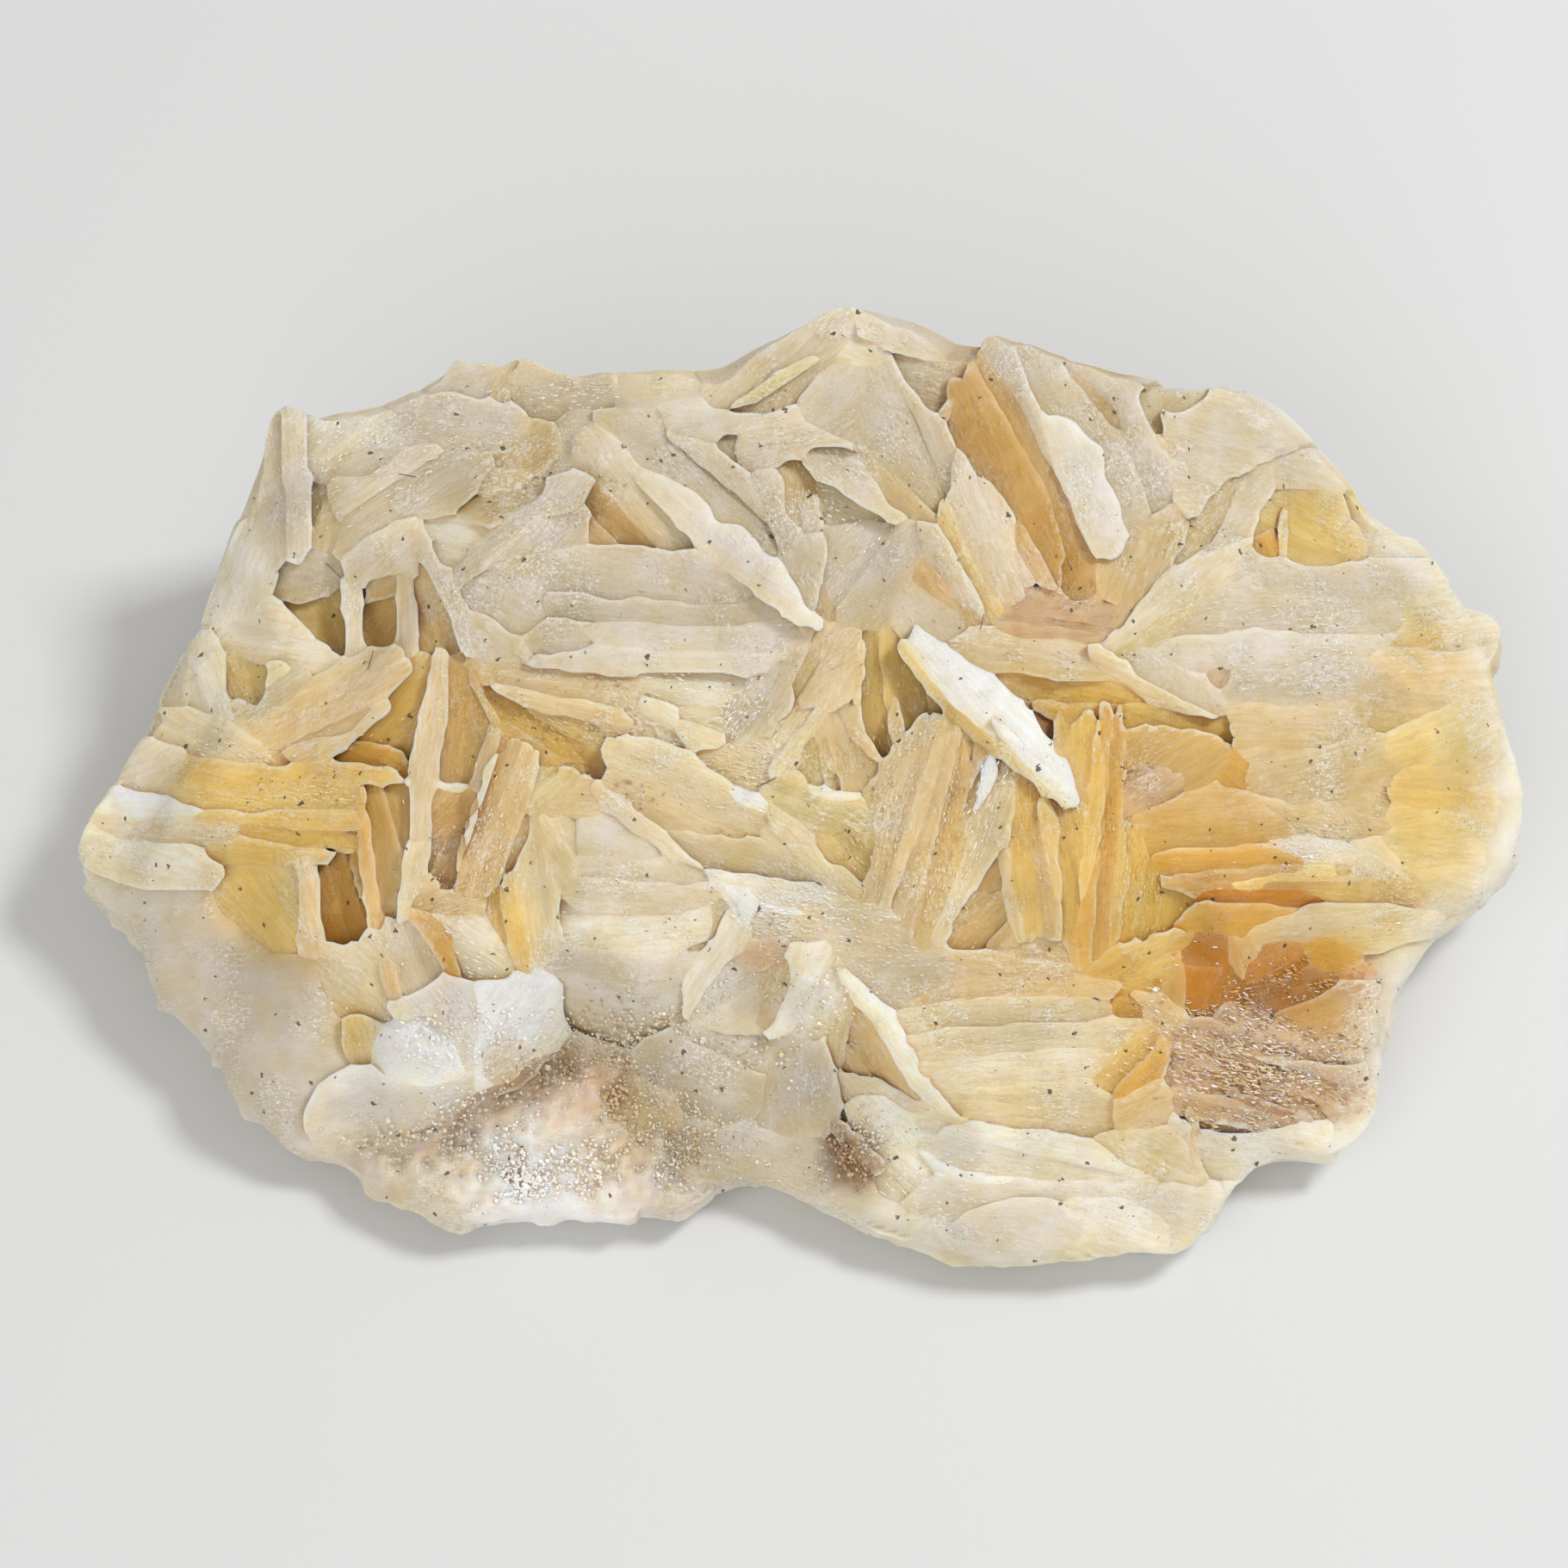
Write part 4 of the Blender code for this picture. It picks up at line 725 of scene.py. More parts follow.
white .2 0 .2 -28.6,-10 -26.4,-10.4 -24.8,-10 -23.6,-12 -22,-14.4 -23.4,-15.6 -26.4,-15.2 -27.2,-12
pinkish .1 .1 .2 -32.4,-10.4 -31,-11 -29.8,-11.4 -28,-14.4 -30,-17.4 -31.4,-17.6 -32.6,-14
cream 0 .1 .2 -37,-12.4 -35,-12.8 -33,-11 -32,-13 -31.4,-17.4 -33.4,-18.4 -35.4,-16.4
honey .6 0 0 -32.4,-12.8 -31.6,-13.6 -30.9,-17 -31.6,-17.4 -32.8,-14.8
""",
"middle": """
tan .3 0 .15 -25.4,9.2 -22,9.4 -19,8.6 -15,8 -11.8,7.6 -12.2,5.8 -15,6.2 -18.6,6.6 -21.6,7.2 -24.6,8
tan .9 0 .2 -24.8,8.1 -21.6,7.4 -18.6,6.5 -15.6,5.8 -12.8,5.2 -13.4,4.4 -16.6,4.9 -20,5.4 -22.4,6.3
straw -.2 .1 .3 -22.4,6.2 -20,5.5 -17,4.8 -16,3 -18,3.6 -20.4,4.8
grey .3 0 .15 -19.6,18 -16.6,18.6 -13.4,18.7 -10.6,18 -8,17.4 -5.6,15.8 -4,14.2 -8,14 -12.4,14.3 -16.8,14.6
 -20,15
grey -.1 0 .2 -19.6,14.9 -16.8,14.7 -12.4,14.4 -8,14.1 -4.2,14.1 -1.8,12.4 -6,12.3 -12,12.4 -17.8,12.6
 -20.2,13.2
grey 0 0 .1 -20.4,12.4 -16.2,12.5 -15.4,11 -17,10.2 -20,10 -21.6,10.8
lilac .4 0 .15 -16.4,12.3 -12,12.2 -6,12.1 -1,12.1 .6,10.8 -3,10 -8,10.2 -13.4,10.4 -16.4,10.8
lilac .6 0 .15 -20,10 -15.6,10.6 -11,10.3 -5,10.1 -1.6,9.8 -3.4,8.6 -8,8.6 -13,8.4 -18,8.6 -21.6,9.2
white .2 0 .1 -13,8.4 -9.6,8.5 -5.6,8.4 -3.4,7 -5.6,5.4 -9.6,6 -12.4,6.8
milk .4 0 .1 -14,5.6 -12.2,6.6 -9.8,6.1 -9.6,4.2 -9.4,2.8 -12,3.8 -13.6,4.4
cream .5 0 .1 -9.8,5.6 -8.4,6 -6.4,5.4 -5.6,4 -6.4,2.8 -8.4,2.6 -9.6,3.6
pinkish .3 .05 .1 -6.6,5.6 -4.8,7.2 -1.8,8.2 -.4,6.2 -2.6,3.6 -4.4,2.4 -5.8,2.8
cream 0 .05 .15 -8.4,2.6 -5.4,2.8 -3,3.6 -1.6,1.6 -3.6,-.4 -5.4,.2 -7.4,1.4
grey .2 .05 0 -2.4,9.6 -.4,10.4 0,12.4 .9,12 .2,9.4 -1.2,7.2 -2.2,8
tan -.4 .05 0 .2,11.6 1.8,12.3 1.6,9.4 .4,7.4 -1,7 -.2,9
tan .5 -.05 0 1.6,12 3.8,12.3 4.7,11 4.6,7.4 3,5.9 .6,5.8 -.6,6.2 .6,8.2 1.4,10
cream .3 -.05 0 -1.6,6.4 .6,6.4 2.2,6.2 1.4,4.6 0,2.6 -1,.8 -2.8,.4 -2.2,3
straw -.4 0 .2 .1,4.6 1.9,5.8 2,4.4 1.4,2.8 2.6,1 3.2,-.6 .4,0 0,2.2
tan .5 0 0 1.9,5.9 2.2,4.4 1.8,2.9 2.9,.8 2.5,.6 1.3,2.7 1.6,4.4
tan -.7 0 .2 2.2,5.8 4.4,6.2 5,3.8 6.2,1.2 5,-.9 3,-.8 2.8,1.2 1.9,3
tan .1 .1 0 2.6,5.9 4.2,6.4 4.6,4.2 6.4,1.5 5.4,1.8 3.6,4
tan 1 0 .1 4.6,12 5,9.4 4.7,7 4.3,5.6 4,6.4 4.3,8.8
white 1 0 .2 .1,-.2 1.6,-.4 3.4,-.8 4.9,-.9 3.8,-1.5 2.4,-1.4 .8,-.9
olive .1 0 .1 -3.4,-.4 -1.8,1 .2,0 1,-.9 3.8,-1.5 5.4,-1.4 5.2,-3.8 1.4,-3.9 -.6,-2.6 -2.2,-1.6
straw -.4 0 .2 .8,-3.8 5.6,-3.8 5.8,-6 4.8,-7.8 3.6,-6.9 1.6,-6.1
cream .5 0 .15 -15.2,2.6 -12,3.4 -9.4,2.6 -7.2,1 -5.4,-.3 -3,-2 -1,-3 -3.2,-4.2 -6,-3.4 -9,-2 -12,-.4
 -14.6,1
snow .9 0 .1 -6,-.1 -4.6,-.5 -3.2,-1.4 -2.2,-2.1 -3.4,-2.2 -4.8,-1.5
cream .7 .05 .1 -2.6,-1.9 -.8,-2.6 .6,-4.4 2,-6.1 4,-7 4.8,-8.8 2.8,-8.6 .4,-7 -1.6,-5.2 -3.4,-4
tan 0 .05 .3 -15.4,1.2 -12.2,-.2 -9.4,-2 -6.4,-3.4 -3.6,-4.4 -6,-5.4 -9,-4.6 -10.8,-3.6 -12.8,-2 -14.8,-.2
cream -.4 .05 .35 -10.6,-3.6 -8.4,-3.8 -4,-4.4 -1.6,-5.2 .2,-7 1.4,-7.8 -2,-7.4 -5.6,-6.8 -8,-6.3 -9.6,-5
pinkish .6 .1 .1 -16.4,-.3 -15.2,-.6 -12.4,-2.4 -10.6,-4 -9,-5.4 -7.6,-6.5 -9.2,-6.2 -11.4,-4.8 -13.4,-3.6
 -14.8,-2.4
lilac .2 0 .1 -18,-2.6 -14.6,-2.7 -13.2,-3.6 -10.8,-5.2 -11.4,-6 -15,-5.8 -17.6,-5.4
grey .1 0 .2 -17.8,-5.6 -14,-5.9 -10,-6 -7.6,-6.6 -8.6,-7.8 -12.4,-7.6 -17.2,-7.4
pinkish .3 0 .15 -18.2,-8.8 -17.2,-7.3 -12.4,-7.6 -8.4,-7.8 -6.6,-8.8 -9,-10.2 -13,-10.4 -17,-10.2
white .2 0 .15 -18.9,-9 -17,-10.2 -13,-10.5 -9.2,-10.3 -6.4,-9.4 -7.4,-12.2 -10.4,-13.4 -14,-13 -17.8,-12.6
 -19,-11
grey .4 0 .15 -19.4,-12.2 -15,-12.9 -10.4,-13.4 -8,-13 -8.6,-15.6 -12,-15.8 -16.6,-15 -20.4,-14.6
""",
"middle_right": """
yellow -1.6 0 .3 5,11.4 6.8,11.4 8.4,10 9.8,7.8 11.6,6.2 10,5.4 8.2,4 6.2,2.2 4.8,4 4.8,7.4
matrix -2.4 0 .3 6.4,8.4 9,8.2 11.2,6.4 9.6,5 8,4.2 6,5.6
tan -.2 .1 0 6.5,4.4 6.9,6.4 7.2,7.1 7.7,5.4 7.9,3.8 7.2,3
snow 2.6 -.1 -.05 8,10.9 9,12 12,9.8 14.6,8 16.4,6.4 18.4,4.6 19.6,2.6 20.6,1.2 21.1,-.4 20.9,-1.6 19.4,-.6
 17.6,1 15.6,3 13,5 10.4,7.4 9,9.2
snow 2.9 -.1 0 14.6,5.2 16,4.4 17.8,2.2 20.2,.2 20.8,-1.2 19,.2 16.6,2.4 14.8,4.2
yellow 1 .4 .4 7.2,10.8 8.2,10.9 10.2,7.8 13,5.2 15.4,3.2 17.6,1.2 19.6,-.6 21,-1.8 19.4,-1.2 17.4,.4 15,2
 12,4.4 9.6,7
tan .9 0 .15 11,11.2 14,11.2 17,11 19,10.8 22,10.2 25,9.2 24,8 20,8 16,8.6 14.6,8.8 12.6,9.8
tan 1 0 .15 21.8,10.3 24.2,9.6 26,8.2 29,6.6 32.6,5 29.6,5.3 27.2,5.8 25.2,7.4 23.4,8.2
ochre_yellow -.2 0 .5 15.2,8.8 18,8.4 22,8.2 25,7.8 27,6.2 24,6.2 20,5.8 17.8,6.2 16.4,7.2
ochre_yellow -.6 0 .5 17.4,6.8 20.4,6.4 24,6.3 27.4,5.9 30,5.3 33.6,4.6 33.8,3.2 30,4.2 26,4.6 22,5.2 19,4.8
brown -2.4 0 .3 17.2,6.6 19.4,6.2 19.5,4 19.3,3
ochre_yellow .3 0 0 19.4,3.2 19.7,5.2 19.9,5.9 20.3,4.4 20.4,2.6 19.8,1.8
tan .4 .1 0 4.6,-.9 6.2,1.2 8,4 9.4,5.6 10.2,5 8.6,2.2 6.8,-1 5.4,-2.2
tan .6 0 0 10.6,5.6 11.3,5 10.6,2 9.6,-2 8.2,-6 6.4,-10 4.4,-8.8 5.6,-5 5.4,-2.2 7,-.8 8.8,2.4 9.6,4.6
tan .3 .1 0 11.4,4.8 12.4,4.4 13.4,3 12.6,0 11.4,-3.4 10,-7.6 8.6,-11.8 7,-11.6 6.6,-10 8.4,-6 9.8,-2 10.8,2
honey .6 0 0 12.4,3.6 13.4,2.8 12.8,-.4 12,-3 11.2,-6.4 9.4,-11 8.4,-12.2 9.4,-8.2 10.8,-4 12,0
straw .3 .1 0 12.6,-2 13.2,-3.4 12.6,-6 11.4,-9 10.2,-12.2 8.4,-12.4 9.6,-10.4 11,-6.8 12,-3.6
ochre -.2 .1 0 12.2,4.4 13.8,3.6 14.6,2 13.4,.6 12.6,-1.6 12.2,.8
cream .8 -.1 0 14.2,2.2 15.8,2 16.5,0 16.2,-3.4 15.2,-5.4 13.8,-7.8 12.4,-9.6 11,-11.4 9.9,-12 11.4,-8.6
 12.8,-5.2 12.6,-2.4 13.4,0
snow 1.2 0 0 14.4,1.9 15.4,1.4 14.4,-.8 13.2,-2.6 12.7,-1.8 13.6,.2
honey -1.4 0 .3 15.4,-5.6 15.6,-8.4 13.2,-8.5 14.2,-7.2
peach -1 0 .3 12.8,-8.6 15.6,-8.4 16.2,-10.8 16.8,-12.6 11.4,-12.8 11.6,-10.6
cream .7 0 0 15.4,-5 16.2,-5.6 16.3,-8.4 17,-10.4 17.3,-12.5 16.4,-11.8 15.6,-9.6 15.4,-7.4
ochre_yellow .3 .05 0 16.6,1.4 18.2,0 18.1,-3.4 18.1,-7.4 18.6,-11.2 17.5,-12.2 16.9,-10 16.2,-7.6 16.3,-3.4
peach .6 0 0 18.1,-1.2 19.8,-2 20,-5.4 20,-9.4 20,-12.2 19.2,-11.8 18.4,-9.8 18,-6
ochre_yellow .4 .05 0 18.4,.4 19.8,-.4 21,-1.8 21.9,-1.4 21.6,-6 21.2,-10.4 21,-14 20.2,-12.4 20,-8 20,-3
 19,-1.4
ochre_yellow .6 0 0 20.3,3 21.4,4.8 22.4,6.2 22.9,4.4 23.2,0 22.2,-1.6 21.3,-1 21,.8
ochre_yellow .9 0 0 22.9,5.6 23.3,3.4 23.3,-2 22.6,-6.6 21.4,-10 21.6,-7 22,-2 22.5,2.6
orange .6 .05 0 23,6.4 24.6,6 25,3 24.6,-2 24.2,-7 23.6,-12.2 22.2,-14.6 21,-13 21.6,-9.4 22.8,-5.6 23.3,-1
yellow .4 0 0 24.3,-3.2 25.2,-4 25.4,-7.4 24.4,-10.8 23.6,-13.6 23.8,-9.6 24.1,-6.4
honey .1 0 .1 25,3.4 26.2,4.2 30,4 33.4,3.2 32.4,.2 28.4,-1 25,-2
matrix .2 0 .1 25.2,.8 27.6,1.6 30,.4 28.6,-1.4 25.2,-2.6 24.7,-1
ochre_yellow 0 0 .1 24.6,-3.8 26.2,-3.6 27.6,-7.6 30.2,-9.2 28,-11.6 24.6,-12.6 24.8,-8.4
ochre_yellow .4 0 .1 22.2,-14.4 24,-12.8 27,-12 30.4,-11.4 29.6,-12.8 26,-14.4
""",
# The first umber facet of the south west, a thin band along the lower edge of the white lobes, is painted
# shadow in the crack under that overhang.
"south_west": """
umber -.4 0 0 -35,-27.6 -30,-26.7 -26.6,-25.7 -25.6,-24 -22.6,-23.2 -20.1,-21 -18.1,-20.4 -17.7,-20.8
 -19.8,-21.5 -22.3,-23.8 -25.2,-24.7 -26.2,-26.3 -30,-27.3 -35,-28.1
lilac 1 0 .1 -32.6,-17 -30.2,-16.4 -27.6,-15.2 -25.4,-15.4 -24.8,-18 -25.4,-20.6 -26,-22.6 -26.8,-20.2
 -29,-17.8 -31,-18.4
snow .9 0 .1 -33.4,-20.6 -31.6,-18.4 -29,-18 -26.9,-20.2 -26.2,-22.6 -28.6,-23.6 -32.4,-23
lilac .9 0 .15 -37,-24.4 -34,-22.6 -31,-23.4 -28.4,-23.5 -26,-22.6 -25.8,-24.4 -26.6,-25.8 -30,-26.9
 -33,-27.8 -35.6,-27.8 -37.2,-26.4
snow 1 0 .1 -25.6,-15.3 -22.6,-15 -20,-14.6 -18.4,-15.8 -18.8,-18.4 -20.4,-20.6 -22,-22.4 -24.6,-23.8
 -25.4,-23.4 -25.2,-20.4 -24.8,-18
pinkish .9 0 .1 -24.8,-20.6 -22.6,-19.8 -20.6,-20.6 -22,-22.4 -24.4,-23.7
straw .2 .1 .1 -35,-18.6 -33.8,-17.8 -32.2,-19.6 -32.4,-21.8 -34.2,-20.6
lilac -.2 0 .2 -20.4,-14.5 -17.6,-14.8 -13,-15.4 -9.4,-15.2 -9.4,-18 -12,-19.6 -15.6,-18.6 -18.2,-17.6
grey -.2 0 .1 -12,-19.6 -9,-18.4 -5.6,-19.6 -2.6,-20.4 -2.8,-24 -6,-26.4 -9.4,-25.4 -11.4,-22.6
grey 0 0 .1 -2.6,-20.2 -.8,-19.6 1.6,-20.6 2.6,-22.6 1.8,-25.4 -.6,-27.4 -3,-26.4
grey -.2 0 .15 -9.4,-25.6 -6,-26.5 -.8,-27.4 1.2,-28.6 0,-30.8 -4,-29.8 -8.6,-30
tan .1 0 .1 -11.8,-24 -9.6,-23.6 -9.2,-26.4 -11.6,-26.2
""",
"south": """
umber .4 0 0 2,-26.2 3.2,-25.9 3.8,-26.9 5,-27.2 5.2,-28.3 6.5,-28.8 6.3,-30.4 5.1,-30.2 4.4,-31 3.9,-29.7
 2.7,-29.5 2.9,-28.2
white .6 0 .15 -7.6,-6.6 -5.6,-7 -2,-7.3 .6,-7.8 3,-9 6,-9.8 8.4,-10.6 5,-10.2 1.6,-9.4 -1.6,-9 -5,-8.4
milk .3 0 .15 -3.8,-8.9 -1.6,-9.1 1.6,-9.5 5,-10.3 8,-11.2 7.4,-12 4,-11.2 0,-10.2 -3.4,-9.6
snow .9 0 .1 -4.2,-9 -2,-9.5 .6,-9.9 .4,-10.4 -2.4,-10 -4,-9.8
snow 1 0 0 -7,-7.6 -5.6,-7.4 -4,-7.8 -3.6,-9.6 -4.2,-11 -5.4,-11.4 -5.8,-9.2
white .6 0 0 -5.6,-9.4 -3.8,-10 -3.8,-12.2 -5.6,-13.6 -7.2,-15.6 -9,-18.4 -9.4,-15.4 -8,-13.4 -6.6,-11.6
tan -.3 0 .1 -6.6,-9.2 -5.5,-9 -5.8,-10.8 -7.4,-12.8 -8.8,-13 -8,-11.2
pinkish .2 0 .1 -3.8,-9.9 0,-10.3 4,-11.3 7.6,-12.1 9.6,-13 5,-13.2 2.2,-12.3 -1,-12.2 -3.8,-12.2
matrix 0 0 .1 -4,-12.2 -1,-12.3 -.4,-13.6 -2.8,-14.6 -4.8,-14.2 -5.6,-13.4
lilac -.3 0 .1 -7.4,-15.8 -5.6,-13.8 -3.2,-14.6 -3,-18 -4.6,-19.6 -7.6,-19.8 -9.2,-18.6
tan 0 .05 .05 -3.1,-14.6 -1.2,-13.6 -.8,-15.8 -1.8,-18.2 -3.4,-18.4
white .5 .05 0 -1.2,-12.6 .2,-12.2 2,-12.2 2.2,-13.2 3.2,-14.2 3.6,-16.4 2.2,-18.8 .8,-20.2 -.6,-19.2
 -2,-20.2 -2,-18 -.9,-15.6
snow .9 0 0 1.9,-16.4 2.6,-16.2 3.1,-17.2 2.2,-18.8 1.2,-20 1.5,-18.2
white 1.1 .05 0 2.4,-14 3.6,-14.6 6,-17.2 8.2,-20.2 9,-22.6 10.4,-24.4 12.2,-26 10.6,-25.6 8.6,-23.8
 7.4,-21.8 5.6,-18.8 3.6,-16.4
snow 1.4 0 0 4,-16 5.4,-17 7.8,-19.6 7.4,-21 5.4,-18.4
cream -.2 .1 .1 3.4,-16.8 4,-17.2 3.6,-19 3,-22.2 2.2,-21.2 2,-19.4
peach -1 .2 .2 3.9,-17.4 5.6,-19 7.4,-21.9 8.6,-23.8 9.4,-25 7.4,-23.8 6.2,-22.8 3,-22.4 3.4,-19.6
ochre -1.4 .1 .1 3.5,-19.2 4.8,-20.6 6.4,-22.6 3,-22.5
milk .1 0 .1 2.9,-22.6 6,-22.8 7.8,-23.8 9.6,-25.2 8,-25.4 5.6,-24.4 3.2,-23.4
pinkish .2 0 .15 2.2,-12.6 5,-13.2 9.6,-13 13,-13.2 12,-15.2 8,-17.4 5.6,-16.2 3.6,-14.5
tan .4 0 .2 10,-12.9 14,-13.2 18,-12.4 20.4,-12.6 20.8,-14.6 16,-14.8 12,-14.6
peach .3 0 .2 11.6,-14.8 16,-14.9 20.6,-14.7 25,-15.6 24.6,-16.6 18,-16.4 12.4,-16.6 8,-17.4
cream .2 0 .2 7.6,-17.4 12.4,-16.7 18,-16.5 23.8,-16.9 22.6,-18.4 16,-18.6 10,-19 8.2,-19.4
cream .3 0 .2 8.4,-19.6 11,-19 16,-18.7 22.6,-18.5 25.6,-18.6 24,-20.4 18,-20.6 12.6,-21.2 9.4,-21.6
milk .1 0 .2 9.2,-21.7 12.6,-21.3 18,-20.8 23.6,-20.8 22,-22.8 17,-23.2 12,-23.6 10.2,-23.4
cream 0 0 .2 10.4,-23.6 14,-23.6 18,-23.3 22,-23 24,-24.6 23.2,-27.2 20,-26.6 15.6,-26.2 12.4,-25.4
tan -.2 0 .2 14,-24.6 18,-24.4 23.8,-24.8 23.6,-27.2 19,-26.6
white .2 0 .15 4.2,-24.2 6.4,-24 8.6,-25.8 9,-28.6 10.4,-30 8,-31.6 6.8,-30.4 5.2,-27.4
white 0 0 .1 8,-25.6 11,-25.7 13,-26.2 11.6,-27 9.4,-26.9
white .4 0 .15 9,-27 12.6,-26.4 17,-27 22,-27.6 25,-29.6 28,-30.6 24,-30.8 16,-30 11.6,-29.9 9.4,-28.4
white .1 0 .1 10.4,-28 13.4,-28.1 16.4,-28.6 14,-29.6 11.8,-29.4
snow .7 0 .1 8.8,-27.2 9.6,-28.2 11.4,-29.8 14,-30.4 18,-30.7 13,-30.9 10.6,-30.3 9.2,-28.9
lilac .3 0 .2 9.6,-30.4 13,-31 18,-30.9 24,-31 28,-31.2 30.2,-32.8 26,-33 19,-32.8 12,-33 9,-32.2
lilac .3 0 .2 12.6,-33.1 16,-32 19.6,-32 21.4,-33.6 21.6,-35.2 18.6,-35.5 15.4,-35.3 13.4,-34.6
white .2 0 .2 19.8,-32.2 24.4,-31.8 28,-33.6 28.6,-35.4 24,-36 21,-35.9 21.8,-34.2
grey .3 0 .15 24.4,-31.4 28.4,-31 31.4,-31.6 31.8,-33 30.2,-35 28.8,-35.6 27.2,-33.4
""",
"south_east": """
ochre_yellow .4 0 .2 20.2,-15.4 22.6,-13.9 26,-12.4 29.6,-11.3 27.6,-13.4 24.6,-15.3 22.6,-15.9
orange .5 0 .1 20.4,-15.3 23,-14.3 26.6,-12.4 25.6,-13.6 22.6,-15.1
ochre_yellow .3 0 .2 23,-15.9 26,-14.4 29,-12.8 29.6,-13.8 28,-16 25.2,-16.1
amber .1 0 .1 21.9,-16.1 24.4,-16.1 25.6,-16.5 22.4,-16.9
orange 0 0 .1 24.2,-17 26.4,-16.6 26.6,-17.8 25,-18.4
peach .5 0 .1 25.6,-16 28,-16.1 29.2,-17.4 30.2,-18.6 28.6,-18.8 26.6,-18
ochre 0 .1 .2 27.6,-16 29.2,-14 29.6,-17.2 28.6,-16.9
amber .2 .1 .3 29.4,-12.4 30.6,-11.4 32.8,-11.9 33,-14 30.2,-14.1 29.4,-13.4
amber -.4 .1 .3 29.9,-14 33,-13.8 33.6,-15 34.4,-15.8 32.4,-16.6 30.8,-18.4 29.8,-17.6
brown -.8 .1 .3 30.4,-15.2 31.8,-15.4 31.6,-17.6 30.6,-18
honey .5 0 .1 32.9,-12 35.4,-12.4 35,-13.6 33.9,-15.2 33,-13.8
amber .2 0 .3 34.8,-13.4 36.2,-12.4 38.6,-12.3 39.2,-13.8 38,-15 35,-15.6 34.2,-15.2
orange .1 0 .3 38.6,-12.2 41,-12 42.4,-13.6 41,-14.6 39.4,-14
brown -.2 0 .3 33.4,-16.4 36,-15.4 39.6,-14.3 41.6,-15.4 40,-17 36.6,-17.8 34.6,-16.9
ochre 0 0 .3 36.6,-17.6 39.8,-16.6 42,-15 43.8,-15.2 43.2,-16.6 41.2,-18.4 41.4,-19.6 39.6,-19.8 38,-18.6
amber .2 0 .2 41.2,-14.7 43.8,-14.9 43.2,-16.4 42.2,-15.8
honey .2 0 .1 41.4,-18.2 43.4,-16.8 43.6,-19.6 41.6,-19.6
matrix .1 0 .15 28.8,-19 31,-18.4 33.8,-17.4 36,-18 38.8,-19.2 41.6,-19.8 42.6,-22 38,-21.4 33,-20.6
 28.8,-20.6
matrix -.1 0 .15 28.6,-20.4 33,-20.6 38,-21.4 42.6,-22 43,-24.6 39.6,-24.6 35,-23.6 30.4,-22.8 28.8,-22.8
matrix -.3 0 .15 28.6,-22.6 32,-23.4 36,-24 39.8,-25 38.4,-26.6 35,-27.4 31,-27 29,-26
brown .1 0 .1 32.6,-23.7 34.6,-24 37.4,-25.2 39,-25.9 37,-25.9 34.2,-24.9
ochre_yellow .2 0 .1 22.4,-23.6 24,-21.6 26.6,-19.4 27.2,-20.4 25,-22.8 23.6,-24.2
orange .3 0 .1 24,-24.2 25.8,-22.4 28.2,-19.8 28.4,-21.2 26.6,-23.4 25.2,-24.6
peach .2 0 .1 24.4,-24.6 27,-23.2 28.6,-24.4 27.6,-26.4 25.4,-27.4 24,-26.4
cream 0 0 .1 23,-27.2 25.6,-26.6 29.4,-27 30.4,-29.4 30.6,-31.2 27,-30.2 24.4,-29.2
white .1 0 .1 28.4,-25.6 31,-26.8 35,-27.2 38.4,-26.4 40.6,-27.2 38,-28.5 34.8,-29.2 31.4,-29.8 28.8,-28.4
honey .4 0 0 29.8,-24.8 30.4,-25.2 30.9,-29.8 30.2,-29.4
""",
}


def rows_of(text):
    """Tint, lift, rises and corners of each facet of a region."""
    for line in text.strip().replace("\n ", " ").split("\n"):
        tint, lift, rise_x, rise_v, corners = line.split(" ", 4)
        yield tint, float(lift), float(rise_x), float(rise_v), numbers_in(corners)


FACETS = {region: list(rows_of(text)) for region, text in FACETS.items()}
for region, rows in FACETS.items():
    print(region, "has", len(rows), "facets")

# %% [markdown]
# In the real stone the tint of one blade runs over into the next, and no blade stands quite free.
# So a coarse sheet is laid over the cluster that holds the tint and height of the facet at each
# place. It is blurred, and every surface below takes part of its tint and height from it. A height
# that is blurred much further tells which blades stand proud of their whole surroundings.

# %% A sheet of tints and heights
SHEET_STEP, SHEET_REACH = 0.5, (60.0, 42.0)
NEAR_ROUNDS, BROAD_ROUNDS = 14, 90
KEPT, TAKEN = 0.4, 0.15
TINT, LIFT, COVER, BROAD = slice(0, 3), 3, 4, 5
SOIL_WEIGHT = 0.05


def within(x, v, corners):
    """Whether places lie inside a closed outline."""
    inside = np.zeros(x.shape, bool)
    for (x1, v1), (x2, v2) in zip(corners, np.roll(corners, -1, axis=0)):
        if v1 != v2:
            crossing = x1 + (v - v1) * (x2 - x1) / (v2 - v1)
            inside ^= ((v1 > v) != (v2 > v)) & (x < crossing)
    return inside


def blurred(sheet, rounds):
    """The sheet after each place has taken part of its four neighbours' values, many times."""
    for _ in range(rounds):
        near = sum(np.roll(sheet, shift, axis) for shift in (1, -1) for axis in (0, 1))
        sheet = sheet * KEPT + near * TAKEN
    return sheet


